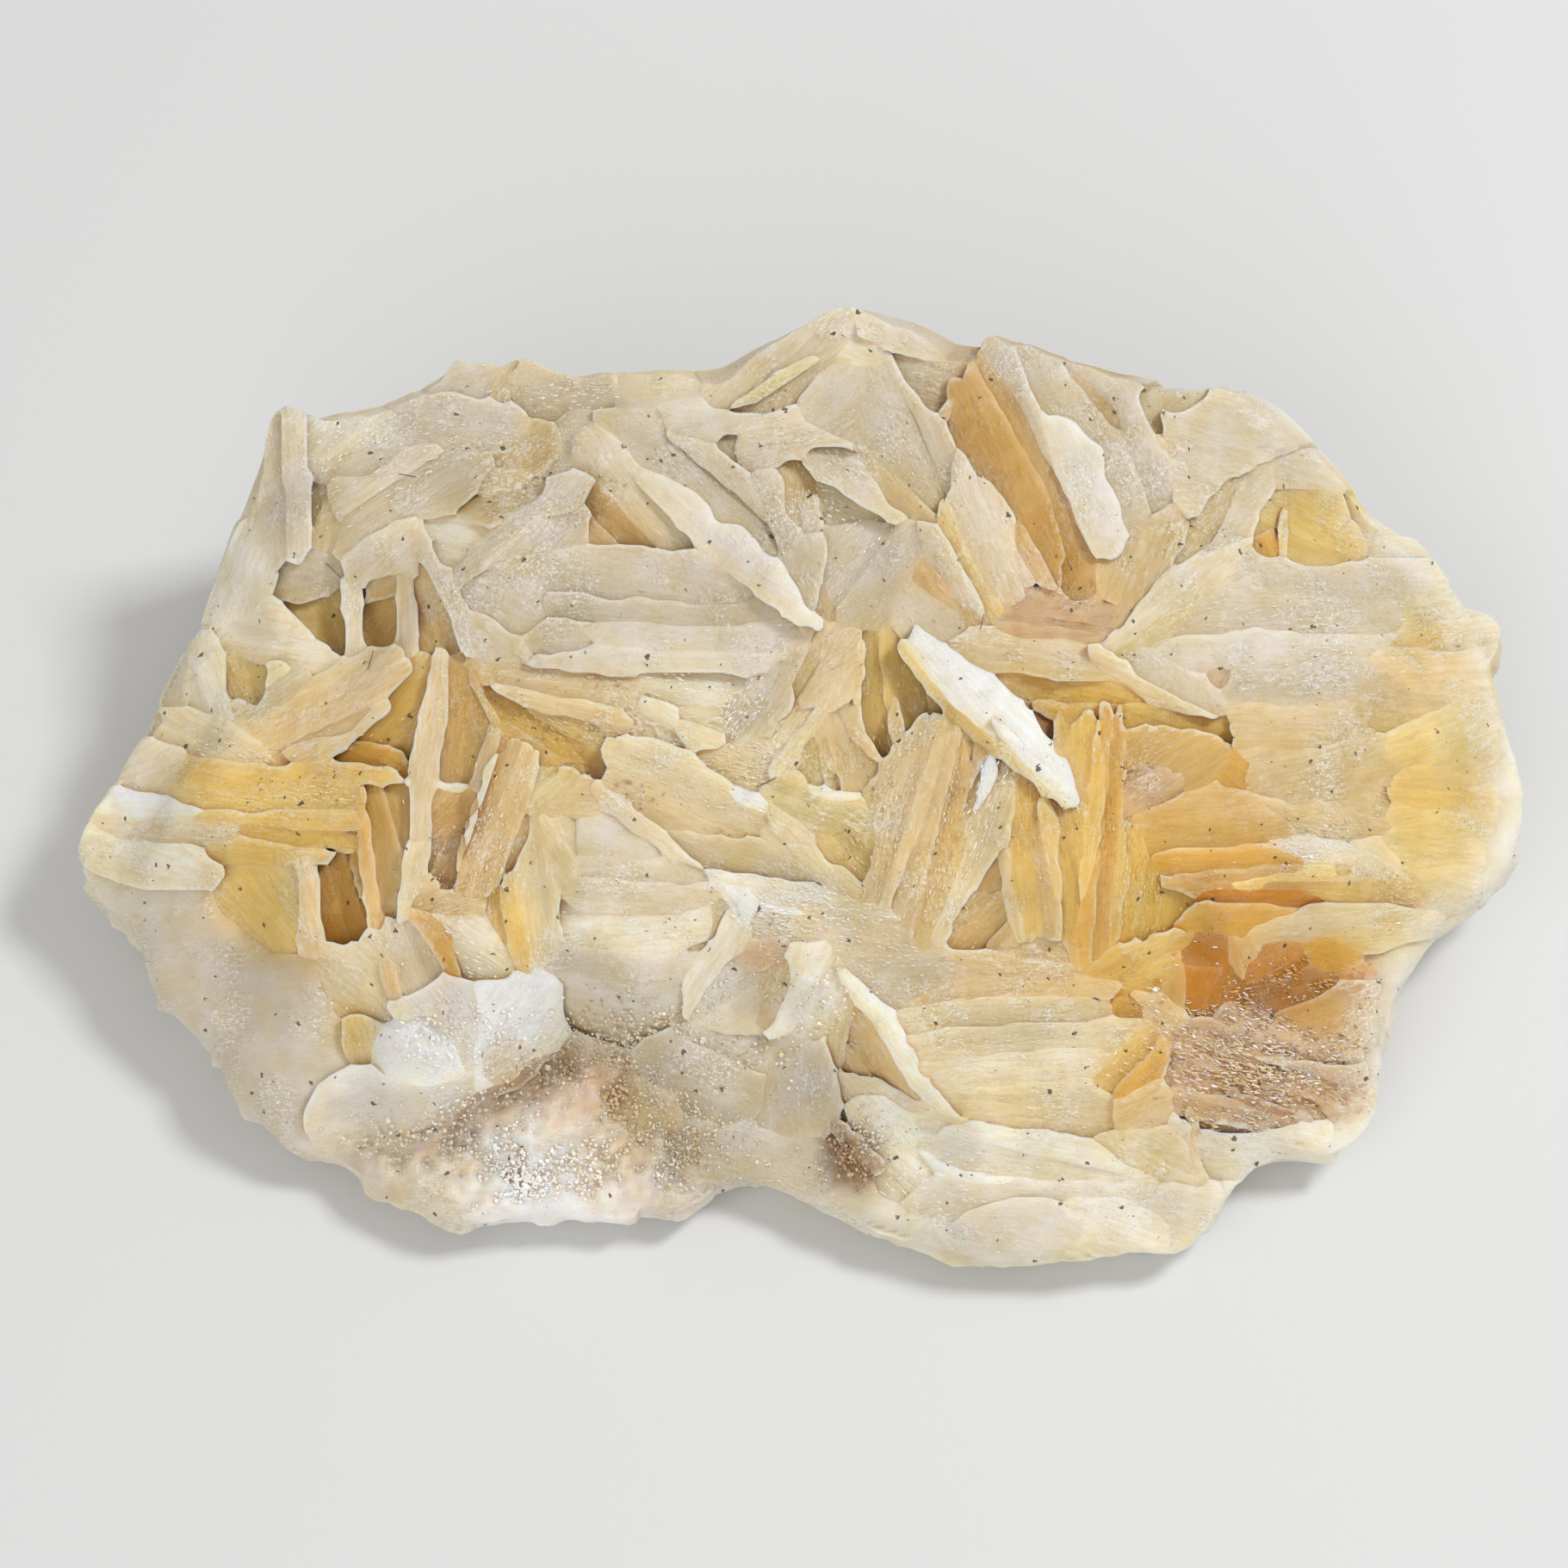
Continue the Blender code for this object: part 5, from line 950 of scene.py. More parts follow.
def make_sheet():
    """Tint, lift, cover of facets and broadly blurred lift over the leaning plane."""
    x, v = np.meshgrid(*(np.arange(-reach, reach, SHEET_STEP) for reach in SHEET_REACH))
    sheet = np.zeros(x.shape + (6,))
    sheet[..., TINT] = ground_tint(x, v)
    sheet[..., -1] = SOIL_WEIGHT
    for tint, lift, rise_x, rise_v, corners in (row for rows in FACETS.values() for row in rows):
        middle = corners.mean(axis=0)
        inside = within(x, v, corners)
        sheet[inside, TINT] = linear(tint)
        sheet[inside, LIFT] = (lift + rise_x * (x - middle[0]) + rise_v * (v - middle[1]))[inside]
        sheet[inside, COVER:] = 1.0
    sheet[..., :-1] *= sheet[..., -1:]
    near, broad = (blurred(sheet, rounds) for rounds in (NEAR_ROUNDS, BROAD_ROUNDS))
    return np.concatenate((near[..., :-1] / near[..., -1:],
                           broad[..., LIFT, None] / broad[..., -1:]), axis=-1)


def sheet_at(x, v):
    """Values of the sheet at x, v, blended between its four nearest places."""
    column, row = ((place + reach) / SHEET_STEP for place, reach in zip((x, v), SHEET_REACH))
    i, j = np.floor(row).astype(int), np.floor(column).astype(int)
    up, right = (row - i)[..., None], (column - j)[..., None]
    return ((SHEET[i, j] * (1 - right) + SHEET[i, j + 1] * right) * (1 - up)
            + (SHEET[i + 1, j] * (1 - right) + SHEET[i + 1, j + 1] * right) * up)


SHEET = make_sheet()
print("the sheet has", SHEET.shape[0], "by", SHEET.shape[1], "places")

# %% [markdown]
# ## One skin over everything
# Light wanders about inside this stone before it comes out, and it can only do that in one closed
# body. So blades and ground share one skin. The leaning plane is divided into small cells, and
# each cell goes to the facet that stands highest there, or to the ground where there is none.
# Inside a facet the skin follows that facet; where two facets meet it steps from one to the other.
# The broad facets are cut lengthwise into laths, because barite grows in thin layers. The lists
# say how broken, how dull and how coarsely layered facets of a tint are, and how crisp the layers
# of a region are. Facets that stand proud, and white ones, stay whole.

# %% How facets of each tint are made
ROUGH = {"matrix": 0.3, "brown": 0.3, "umber": 0.5, "lilac": 0.12, "snow": 0.16, "amber": 0.2}
MATTE = {"matrix": 0.9, "umber": 0.8, "brown": 0.6, "lilac": 0.6, "rind": 0.8, "grey": 0.4}
COARSE = {"pinkish": 1.0, "lilac": 1.0, "rind": 1.0, "grey": 1.0, "snow": 9.0, "matrix": 0.25}
CRISP = {"middle": 1.3, "middle_right": 1.4, "west": 1.2, "north": 1.1, "east": 0.8}
DEEP = {"amber", "brown", "orange"}
PROUD_LIFT, LOW_LIFT = 0.75, 0.45
OWN_LEAST, OWN_MOST, OWN_AREA, SNOW_OWN, LOW_OWN = 0.3, 0.75, 50.0, 0.12, 0.85
WHOLE, LATHS, LATH_WIDTHS = 9.0, 8, (1.6, 3.2)
CUT_SHIFT, CUT_SLANT, TIP_SHARES = 0.25, 0.035, (0.03, 0.11)
STEP_SPREAD, TILT_SPREAD, TONE_SPREAD = 0.13, 0.17, 0.03
dice = random.Random(41)


def outline_at(corners, along):
    """The least and greatest place across a closed outline at each place along it."""
    low, high = np.full(along.shape, np.inf), np.full(along.shape, -np.inf)
    for (s1, t1), (s2, t2) in zip(corners, np.roll(corners, -1, axis=0)):
        if s1 == s2:
            continue
        share = (along - s1) / (s2 - s1)
        hit = (share >= 0.0) & (share <= 1.0)
        place = t1 + (t2 - t1) * share
        low = np.where(hit, np.minimum(low, place), low)
        high = np.where(hit, np.maximum(high, place), high)
    return low, high


print("crisper or softer than the rest:", CRISP)

# %% [markdown]
# A facet is flat apart from its laths and a fine relief. It takes part of its lie and tint from the
# sheet, and the rest is its own. Where it stands proud of what is round it, it is whiter, partly as
# its own milky crest and partly as painted light; where it lies deep it gets painted shade, darker
# and warmer. Its upper border gets a painted highlight and its lower border painted shade, and
# faint streaks of painted sheen run along it.

# %% One facet
DEEP_PAINTED_SHADE, DEEP_LIMIT, PROUD_HEIGHT, PROUD_WHITE_AND_PAINTED_LIGHT = 0.09, 1.2, 1.2, 0.3
LOW_PAINTED_SHADE, FOOT_PAINTED_SHADE = (0.05, 0.11, 0.28), (0.02, 0.07, 0.2)
FOOT_REACH, CREST_REACH, CREST_PAINTED_HIGHLIGHT, STREAK_PAINTED_SHEEN = 0.9, 0.6, 0.12, 0.08
TINT_KEPT, FULL_RELIEF_AREA = 0.75, 12.0


class Facet:
    """An edge, face or broken end of a blade, with its lie, its layers and its tint."""

    def __init__(self, tint, lift, rise_x, rise_v, corners, crisp):
        self.tint, self.lift, self.rise = tint, lift, np.array((rise_x, rise_v))
        self.corners, self.middle = corners, corners.mean(axis=0)
        gaps = corners[None] - corners[:, None]
        reach = np.hypot(gaps[..., 0], gaps[..., 1])
        first, last = np.unravel_index(reach.argmax(), reach.shape)
        self.length = reach.max()
        self.along = gaps[first, last] / self.length
        self.across = np.array((-self.along[1], self.along[0]))
        self.flat = np.stack((corners @ self.along, corners @ self.across), axis=-1)
        (self.left, self.low), (self.right, self.high) = self.flat.min(axis=0), self.flat.max(axis=0)
        self.centre = (self.left + self.right) / 2.0
        ahead = np.roll(corners, -1, axis=0)
        self.area = abs((corners[:, 0] * ahead[:, 1] - ahead[:, 0] * corners[:, 1]).sum()) / 2.0
        self.own = SNOW_OWN if tint == "snow" else min(OWN_MOST, OWN_LEAST + self.area / OWN_AREA)
        if lift < LOW_LIFT:
            self.own *= LOW_OWN
        self.seed = dice.random() * 900.0
        self.shade = dice.uniform(-TONE_SPREAD, TONE_SPREAD)
        spots = np.concatenate((corners, [self.middle] * 2))
        gap = np.column_stack((np.ones(len(spots)), (spots - self.middle) / 0.6))
        self.around = np.linalg.lstsq(gap, sheet_at(*spots.T)[:, LIFT], rcond=None)[0]
        self.split(WHOLE if lift > PROUD_LIFT else COARSE.get(tint, 0.5) / crisp ** 0.5, crisp)

    def split(self, coarse, crisp):
        """Cut the facet lengthwise into laths, each a little higher or lower than the next."""
        wide = self.area / self.length
        count = int(np.clip(round(wide / dice.uniform(*LATH_WIDTHS) / coarse), 1, LATHS))
        gap = self.high - self.low
        self.cuts = [(self.low + gap * (n + dice.uniform(-CUT_SHIFT, CUT_SHIFT)) / count,
                      dice.gauss(0.0, CUT_SLANT)) for n in range(1, count)]
        self.steps, self.tilts, self.tones = (
            np.array([dice.gauss(0.0, spread) for _ in range(LATHS)])
            for spread in (STEP_SPREAD * crisp, TILT_SPREAD * crisp, TONE_SPREAD))
        self.tips = np.array([dice.uniform(*TIP_SHARES) for _ in range(LATHS)]) * self.length

    def turned_flat(self, x, v):
        """Places along and across the facet."""
        return (x * way[0] + v * way[1] for way in (self.along, self.across))

    def lath(self, x, v):
        """The number of the lath on which a place lies, and how far the lath's point shifts it."""
        s, t = self.turned_flat(x, v)
        cuts = np.stack([place + slope * (s - self.centre) for place, slope in
                         [(self.low, 0.0)] + self.cuts + [(self.high, 0.0)]])
        lath = np.clip((t > cuts).sum(axis=0) - 1, 0, len(self.cuts))
        low, high = (np.take_along_axis(cuts, (lath + n)[None], 0)[0] for n in (0, 1))
        off = np.clip(np.abs(2.0 * (t - low) / np.maximum(high - low, 0.1) - 1.0), 0.0, 1.0)
        return lath, np.sign(s - self.centre) * self.tips[lath] * (off - 0.45)

    def lean(self, x, v, base, rise):
        """A flat lie: its height in the middle of the facet and its two rises."""
        return base + rise[0] * (x - self.middle[0]) + rise[1] * (v - self.middle[1])

    def lie(self, x, v):
        """Lift over the top without the fine relief: flat, and part of the way to its neighbours."""
        around = self.lean(x, v, self.around[0], self.around[1:])
        return self.lean(x, v, self.lift, self.rise) * self.own + around * (1.0 - self.own)

    def relief(self, grain, t, lath):
        """Fine relief: the steps between laths, ripples along the crystal and broken roughness."""
        relief = self.steps[lath] + self.tilts[lath] * (t - self.flat[:, 1].mean())
        relief = relief * min(1.0, self.area / FULL_RELIEF_AREA) + field(grain, 3.4, 15) * 0.1
        relief = relief + field(grain * (0.3, 1.0, 1.0), 0.8, 16) * 0.04
        return relief + field(grain, 0.9, 18) * ROUGH.get(self.tint, 0.0)

    def colour(self, x, v, sheet, lath):
        """The facet's tint, mixed with its neighbours', paler where it stands proud (partly painted light)
        and darker where it lies deep (painted shade).
        """
        keep = 1.0 if self.tint in DEEP | {"snow"} else TINT_KEPT
        base = linear(self.tint) * (1.0 + self.shade) * keep + sheet[..., TINT] * (1.0 - keep)
        base = base * (1.0 + self.tones[lath])[..., None]
        # Painted shade: a facet that lies below the top is dimmed, more the deeper it lies.
        base = base * (1.0 - DEEP_PAINTED_SHADE * min(DEEP_LIMIT, max(0.0, -self.lift)) ** 0.5)
        proud = self.lean(x, v, self.lift, self.rise) - sheet[..., BROAD]
        proud = np.clip(proud / PROUD_HEIGHT, -1.0, 1.0)[..., None]
        # Whiter where the facet stands proud: partly the milky crest's own colour, partly painted light.
        base = towards(base, linear("snow"), PROUD_WHITE_AND_PAINTED_LIGHT * np.maximum(proud, 0.0))
        # Painted shade, darker and warmer, where the facet lies below its surroundings.
        return base * (1.0 - np.maximum(-proud, 0.0) * LOW_PAINTED_SHADE)

    def surface(self, x, v, sheet, lath):
        """Lift, tint and grain at places of the facet."""
        s, t = self.turned_flat(x, v)
        grain = np.stack((s + self.seed, t + self.seed + 3.7 * lath, 0 * s), axis=-1)
        base = self.colour(x, v, sheet, lath)
        low, high = outline_at(self.flat, np.clip(s, self.left + 0.05, self.right - 0.05))
        below, above = (np.maximum(part, 0.0) for part in (t - low, high - t))
        below, above = (below, above) if self.across[1] > 0 else (above, below)
        # Painted shade, darker and warmer, along the facet's lower border where it meets its neighbour.
        base = base * (1.0 - np.exp(-below / FOOT_REACH)[..., None] * FOOT_PAINTED_SHADE)
        # Painted highlight along the upper border, and streaks of painted sheen along the grain.
        painted_light = np.exp(-above / CREST_REACH) * CREST_PAINTED_HIGHLIGHT
        painted_light = painted_light + field(grain * (0.35, 1.0, 1.0), 1.8, 17) * STREAK_PAINTED_SHEEN
        lift = self.lie(x, v) + self.relief(grain, t, lath)
        grain[..., 2] = MATTE.get(self.tint, 0.0)
        return lift, base * (1.0 + painted_light[..., None]), grain


blades = [Facet(*row, CRISP.get(region, 1.0)) for region, rows in FACETS.items() for row in rows]
print(len(blades), "facets cover", round(sum(blade.area for blade in blades)), "square millimetres")

# %% [markdown]
# The cells are a third of a millimetre wide. A little noise on their places keeps the borders from
# being straight as a ruler; afterwards the stepped borders are pulled smooth. Beyond the outline of
# the cluster, as it is seen, there are no cells.

# %% The cells and their owners
CELL, WIDE, TALL = 0.33, 346, 234
OUTSIDE, SOIL = -1, 0
COVERED, MARGIN, LOWEST = 0.55, 1.2, -99.0
SMOOTH_ROUNDS, SMOOTH_PULL = 4, 0.55
SILHOUETTE = numbers_in("""
-56,-5.5 -55.9,-4.2 -55,-2.4 -54,-1.5 -53.2,-.6 -52.8,.5 -52.2,1.8 -51,3.4 -50.4,4.2 -50,5.7 -49,8 -48,10
-47.3,10.8 -46.8,11.6 -46,14 -45.2,16 -44.6,17.5 -43.7,20 -43.4,20.4 -42.5,20.6 -42.1,22.3 -41.6,24.5
-41.7,26.2 -41.2,27 -41.2,28 -40.6,29.1 -40.1,29.3 -38.8,29 -37.2,28.2 -36.5,28.1 -33.5,28.4 -32,28.9
-30,29.8 -29,30.1 -28.2,30.9 -27.7,30.9 -27.5,31.8 -26.8,32.9 -25,32.6 -22.9,32.4 -21.8,33 -20.6,32.8
-20,32.3 -18.6,31.7 -16.5,31.3 -15,31.7 -14,31.9 -12,31.7 -10,31.7 -8,31.2 -6.9,30.8 -5.7,31.2 -4.4,32.4
-3.2,33.4 -2.4,33.9 0,35.3 1,36.1 2,36.6 3.6,37.2 5,36.5 6.6,35.5 8,35.3 9.5,34.6 10.6,33.4 11.3,32.6
13.3,32.5 13.5,33.4 14.2,34.5 14.6,34.7 15.4,34.3 15.9,33.8 16.9,34 17.5,34 18,33.5 19.2,33 21,32.5 22,32.3
24,31.4 26,31.1 26.8,30.9 27.6,30.2 29.2,30.3 30.2,30.2 31.1,30.6 33,30.5 34,30 36,28.8 36.6,28 37,27.2
39,26 40,25.4 41,24.2 42,23.3 43,21.4 44,20.1 45.5,19.2 47.5,19 48.5,18 50,16.1 50.1,15.3 51.3,13.5
53.1,13.3 54.1,12.3 54,10.5 53.2,8.9 53,8.2 53.7,6.6 54.3,5.2 54.6,4.4 54.4,3.5 55.3,2.1 55.8,0 56,-1
55.5,-4.2 54.8,-6.2 53.6,-8.2 52.1,-10 50,-11.4 49.1,-12 48,-13.4 47,-14.9 46,-16.4 45.2,-18.5 45,-20
44.7,-23 44.6,-24.5 44,-26.2 42.8,-27.7 41,-28.7 38,-28.8 36,-28.9 34.5,-29.8 33.4,-31.3 32,-32.9 31.1,-34.5
30,-35.7 28.4,-36.4 25,-36.4 22,-36.9 20.5,-37.1 17,-37 14,-36.8 11.5,-36.2 10,-35.7 8.5,-35.4 6.2,-34.9
4,-33.7 2,-32.6 0,-32.3 -1.6,-31.4 -4,-30.7 -6.4,-31 -8,-32.4 -9.7,-33.2 -10.8,-32.4 -12,-32.3 -13,-33.5
-15,-33.5 -17,-33.2 -20,-33.4 -22,-33.6 -26.2,-34.2 -28.8,-33.3 -31,-32.7 -33,-31.2 -35,-29.4 -36.5,-28.9
-39,-28.6 -40.5,-27.7 -42.2,-25.9 -43.7,-25 -44.4,-23.2 -45.5,-20.8 -47,-19.5 -49.9,-16.6 -50.6,-14.8
-51,-13 -52,-11 -53.3,-9.9 -54.8,-8.3 -55.8,-6.4
""")
grid_v, grid_x = np.meshgrid((np.arange(TALL + 1) - TALL / 2) * CELL,
                             (np.arange(WIDE + 1) - WIDE / 2) * CELL, indexing="ij")


def row_and_column(x, v, shift=0.0):
    """The cell at a place, counted from the lower left."""
    return v / CELL + TALL / 2 - shift, x / CELL + WIDE / 2 - shift


def own_cells():
    """Who owns each cell: the facet's number, counted from 1, times LATHS, plus its lath."""
    x, v = (part[:-1, :-1] + CELL / 2 for part in (grid_x, grid_v))
    place = np.stack((x, v, 0 * x), axis=-1)
    x_moved, v_moved = (part + field(place, 1.3, seed) * 0.06 + field(place, 5.0, seed + 2) * 0.1
                        for part, seed in ((x, 31), (v, 32)))
    owner, highest = np.full(x.shape, SOIL), np.full(x.shape, LOWEST)
    for number, blade in enumerate(blades, 1):
        down, left, up, right = (int(np.clip(edge, 0, limit)) for edge, limit in zip(
            row_and_column(*blade.corners.min(axis=0) - MARGIN)
            + row_and_column(*blade.corners.max(axis=0) + MARGIN), (TALL, WIDE) * 2))
        part = (slice(down, up + 1), slice(left, right + 1))
        lath, shift = blade.lath(x_moved[part], v_moved[part])
        inside = within(x_moved[part] + shift * blade.along[0],
                        v_moved[part] + shift * blade.along[1], blade.corners)
        lie = blade.lie(x[part], v[part])
        won = inside & (lie > highest[part])
        owner[part][won] = (number * LATHS + lath)[won]
        highest[part][won] = lie[won]
    # Umber facets, the stains and the painted shadow in the crack, lend no cells to the ground.
    umber_stains_and_shadow = [number for number, blade in enumerate(blades, 1) if blade.tint == "umber"]
    covered = sheet_at(x, v)[..., COVER] > COVERED
    for shift, axis in ((1, 0), (-1, 0), (1, 1), (-1, 1)) * 3:
        other = np.roll(owner, shift, axis)
        owner = np.where((owner == SOIL) & covered & ~np.isin(other // LATHS, umber_stains_and_shadow), other, owner)
    owner[~within(x, v, SILHOUETTE)] = OUTSIDE
    return owner


def pull_smooth(x, v):
    """Move the grid's points on borders between owners towards their neighbours there."""
    padded = np.pad(owner, 1, constant_values=OUTSIDE)
    upward, rightward = np.zeros(x.shape, bool), np.zeros(x.shape, bool)
    upward[:-1] = padded[1:-1, :-1] != padded[1:-1, 1:]
    rightward[:, :-1] = padded[:-1, 1:-1] != padded[1:, 1:-1]
    links = ((upward, -1, 0), (np.roll(upward, 1, 0), 1, 0),
             (rightward, -1, 1), (np.roll(rightward, 1, 1), 1, 1))
    count = sum(link.astype(float) for link, _, _ in links)
    for _ in range(SMOOTH_ROUNDS):
        moved = []
        for part in (x, v):
            near = sum(np.where(link, np.roll(part, shift, axis), 0.0) for link, shift, axis in links)
            pulled = (1.0 - SMOOTH_PULL) * part + SMOOTH_PULL * near / np.maximum(count, 1)
            moved.append(np.where(count >= 2, pulled, part))
        x, v = moved
    return x, v


owner = own_cells()
skin_x, skin_v = pull_smooth(grid_x, grid_v)
print("cells:", int((owner > OUTSIDE).sum()), "of them ground:", int((owner == SOIL).sum()))

# %% [markdown]
# Between and beside the blades lies the ground: the smooth rind, hollows where no blade has grown,
# and a rough crust at the front.

# %% The ground
HOLLOWS = [
    (-37.6, 12.2, 2.6, 4.0), (-32.6, 12.8, 2.0, 4.0), (-43.2, 8.0, 1.8, 2.5),
    (-35.6, -9.0, 2.4, 4.0), (14.6, -10.4, 2.4, 3.0), (2.6, 2.4, 3.0, 3.0),
    (39.0, 19.6, 3.4, 3.0), (5.6, -20.6, 2.6, 2.0), (32.0, -15.6, 2.6, 2.0),
]
GRAINY = [(-27, -30, 9, 5), (-17, -29, 8, 5), (-13, -22, 5, 4), (36, -21, 6, 3)]
WORN = ((5.0, 1, 0.4), (2.1, 2, 0.2), (0.9, 3, 0.07))
BROKEN = ((0.6, 2.3, 0.5), (1.9, 1.1, 0.45), (2.6, 0.6, 0.4))
SUNK_BETWEEN, MOTTLE_DARK, MOTTLE_WHITE = 0.6, (0.1, 0.22, 0.32), 0.6


def hill(x, v, x0, v0, across, up):
    """A soft hill of height 1 over a place."""
    return np.exp(-((x - x0) / across) ** 2 - ((v - v0) / up) ** 2)


def soil_surface(x, v, sheet, _):
    """Lift, tint and grain of the ground."""
    lift = sheet[..., LIFT] - SUNK_BETWEEN * sheet[..., COVER]
    for x0, v0, size, deep in HOLLOWS:
        lift = lift - 0.5 * deep * hill(x, v, x0, v0, size, size)
    place = np.stack((x, v, 0 * x), axis=-1)
    grainy = sum(hill(x, v, *patch) for patch in GRAINY)
    for lump, seed, size in WORN:
        lift = lift + field(place, lump, seed) * size
    for turn, lump, size in BROKEN:
        turned_place = np.stack((x * math.cos(turn) - v * math.sin(turn),
                                 x * math.sin(turn) + v * math.cos(turn), 0 * x), axis=-1)
        lift = lift + grainy * field(turned_place, lump, 4) * size
    mottle = np.minimum(grainy, 1.0) * (field(place, 1.3, 5) + field(place, 0.6, 6) * 0.8)
    mottle = mottle[..., None]
    tint = sheet[..., TINT] * (1.0 - np.clip(-mottle, 0.0, 1.0) * MOTTLE_DARK)
    tint = towards(tint, linear("white"), MOTTLE_WHITE * np.clip(mottle, 0.0, 1.0))
    place[..., 2] = 1.0
    return lift, tint, place


print(len(HOLLOWS), "hollows and", len(GRAINY), "grainy patches")

# %% [markdown]
# Now the skin itself. Every grid point becomes one mesh point for each facet that meets there, so
# a border point is there twice or more, at different heights, and small walls join them. The key
# of a mesh point is its owner times the number of grid points, plus the number of its grid point.

# %% Points and cells of the skin
STRIDE = grid_x.size


def corner_numbers(i, j):
    """Grid numbers of a cell's corners, counter-clockwise as seen."""
    first = i * (WIDE + 1) + j
    return np.stack((first, first + 1, first + WIDE + 2, first + WIDE + 1), axis=-1)


def borders():
    """Edges between cells of different owners, with the owner on the left and on the right."""
    padded = np.pad(owner, 1, constant_values=OUTSIDE)
    i, j = np.nonzero(padded[:, :-1] != padded[:, 1:])
    low, high = (i - 1) * (WIDE + 1) + j, i * (WIDE + 1) + j
    upright = np.stack((low, high, padded[i, j], padded[i, j + 1]), axis=-1)
    i, j = np.nonzero(padded[:-1] != padded[1:])
    left, right = i * (WIDE + 1) + j - 1, i * (WIDE + 1) + j
    return np.concatenate((upright, np.stack((right, left, padded[i, j], padded[i + 1, j]), axis=-1)))


def number_of(side, place):
    """Number of the mesh point that an owner has at a grid point."""
    return np.searchsorted(pairs, side * STRIDE + place)


cell_i, cell_j = np.nonzero(owner > OUTSIDE)
keys = owner[cell_i, cell_j][:, None] * STRIDE + corner_numbers(cell_i, cell_j)
pairs, quads = np.unique(keys, return_inverse=True)
quads = quads.reshape(-1, 4)
belongs, point = pairs // STRIDE, pairs % STRIDE
edges = borders()
on_border = (edges[:, 2:] == OUTSIDE).any(axis=1)
open_edges, inner_edges = edges[on_border], edges[~on_border]
on_rim = np.zeros(STRIDE, bool)
on_rim[open_edges[:, :2]] = True
first, second, left, right = inner_edges.T
walls = np.stack((number_of(left, second), number_of(left, first),
                  number_of(right, first), number_of(right, second)), axis=-1)
print(len(pairs), "points,", len(quads), "cells,", len(walls), "steps,", len(open_edges), "rim edges")

# %% [markdown]
# Every owner now gives its points their lift, tint and grain. The tints are blurred a little,
# because the stone is milky. Small steps between neighbours are levelled; a step up gets a painted
# highlight and a step down painted shade, and the rim gets a pale line, partly the rind's own white
# and partly painted light, most of all at the right where the key light stands.

# %% Lift and tint of the skin
BLUR_HALF, BLUR_ROUNDS = 2, 3
SOFT, SOIL_SOFT, PROUD_SOFT = 0.5, 0.3, 0.15
LEVEL_BELOW, LEVEL_RANGE, STEP_RANGE = 0.1, 0.35, 0.6
STEP_PAINTED_HIGHLIGHT, STEP_PAINTED_SHADE = 0.55, (0.0, 0.05, 0.2)
RIM_WIDTH, RIM_WHITE_AND_PAINTED_LIGHT, RIM_PAINTED_LIGHT_RISE = 0.055, 0.3, 0.01


def softened(tint, x, v):
    """Each point's tint as it looks through a millimetre of milky stone."""
    blur = np.zeros((TALL, WIDE, 4))
    blur[cell_i, cell_j, :3] = tint[quads].mean(axis=1)
    blur[cell_i, cell_j, 3] = 1.0
    for axis in (0, 1) * BLUR_ROUNDS:
        shifted = [np.roll(blur, shift, axis) for shift in range(-BLUR_HALF, BLUR_HALF + 1)]
        blur = sum(shifted) / len(shifted)
    row, column = (np.clip(part.round().astype(int), 0, limit - 1)
                   for part, limit in zip(row_and_column(x, v, 0.5), (TALL, WIDE)))
    near = blur[row, column]
    return near[:, :3] / np.maximum(near[:, 3:], 1e-3)


def surfaces(x, v):
    """Lift, tint and grain of every point, each from its own facet or the ground."""
    sheet = sheet_at(x, v)
    lift, tint, grain = np.zeros(len(x)), np.zeros((len(x), 3)), np.zeros((len(x), 3))
    starts = np.searchsorted(belongs, np.arange(len(blades) + 2) * LATHS)
    for number, (start, end) in enumerate(zip(starts, starts[1:])):
        if start < end:
            part = slice(start, end)
            surface = blades[number - 1].surface if number else soil_surface
            lift[part], tint[part], grain[part] = surface(x[part], v[part], sheet[part],
                                                          belongs[part] % LATHS)
    softness = np.array([SOIL_SOFT] + [
        PROUD_SOFT if blade.lift > PROUD_LIFT or blade.tint in DEEP | {"snow"} else SOFT
        for blade in blades])
    return lift, towards(tint, softened(tint, x, v), softness[belongs // LATHS][:, None]), grain


def make_skin():
    """Points, tints and grain of the seen side."""
    x, v = skin_x.ravel()[point], skin_v.ravel()[point]
    lift, tint, grain = surfaces(x, v)
    mean = np.bincount(point, lift, STRIDE) / np.maximum(np.bincount(point, minlength=STRIDE), 1)
    gap = lift - mean[point]
    step = np.clip((np.abs(gap) - LEVEL_BELOW) / LEVEL_RANGE, 0.0, 1.0)
    lift = mean[point] + gap * step * step * (3.0 - 2.0 * step)
    above = np.clip(gap / STEP_RANGE, -1.0, 1.0)[:, None]
    # Painted highlight on the upper side of a step and painted shade on the lower side.
    tint = towards(tint, linear("snow"), STEP_PAINTED_HIGHLIGHT * np.maximum(above, 0.0))
    tint = tint * (1.0 - np.maximum(-above, 0.0) * STEP_PAINTED_SHADE)
    top = on_top(x, v, np.where(on_rim[point], mean[point], lift))
    # A pale line along the rim: partly the rind's own white, partly painted light that grows towards the
    # right, where the key light stands.
    rim_near = np.exp(-(from_rim(top[:, 0], top[:, 1])[1] / RIM_WIDTH) ** 2)[:, None]
    rim_share_of_white_and_light = np.clip(RIM_WHITE_AND_PAINTED_LIGHT + RIM_PAINTED_LIGHT_RISE * x[:, None], 0.1, 0.8)
    return top, towards(tint, linear("white"), rim_share_of_white_and_light * rim_near), grain


top, tint, grain = make_skin()
print("the skin's top is", round(top[:, 2].max(), 1), "mm high")

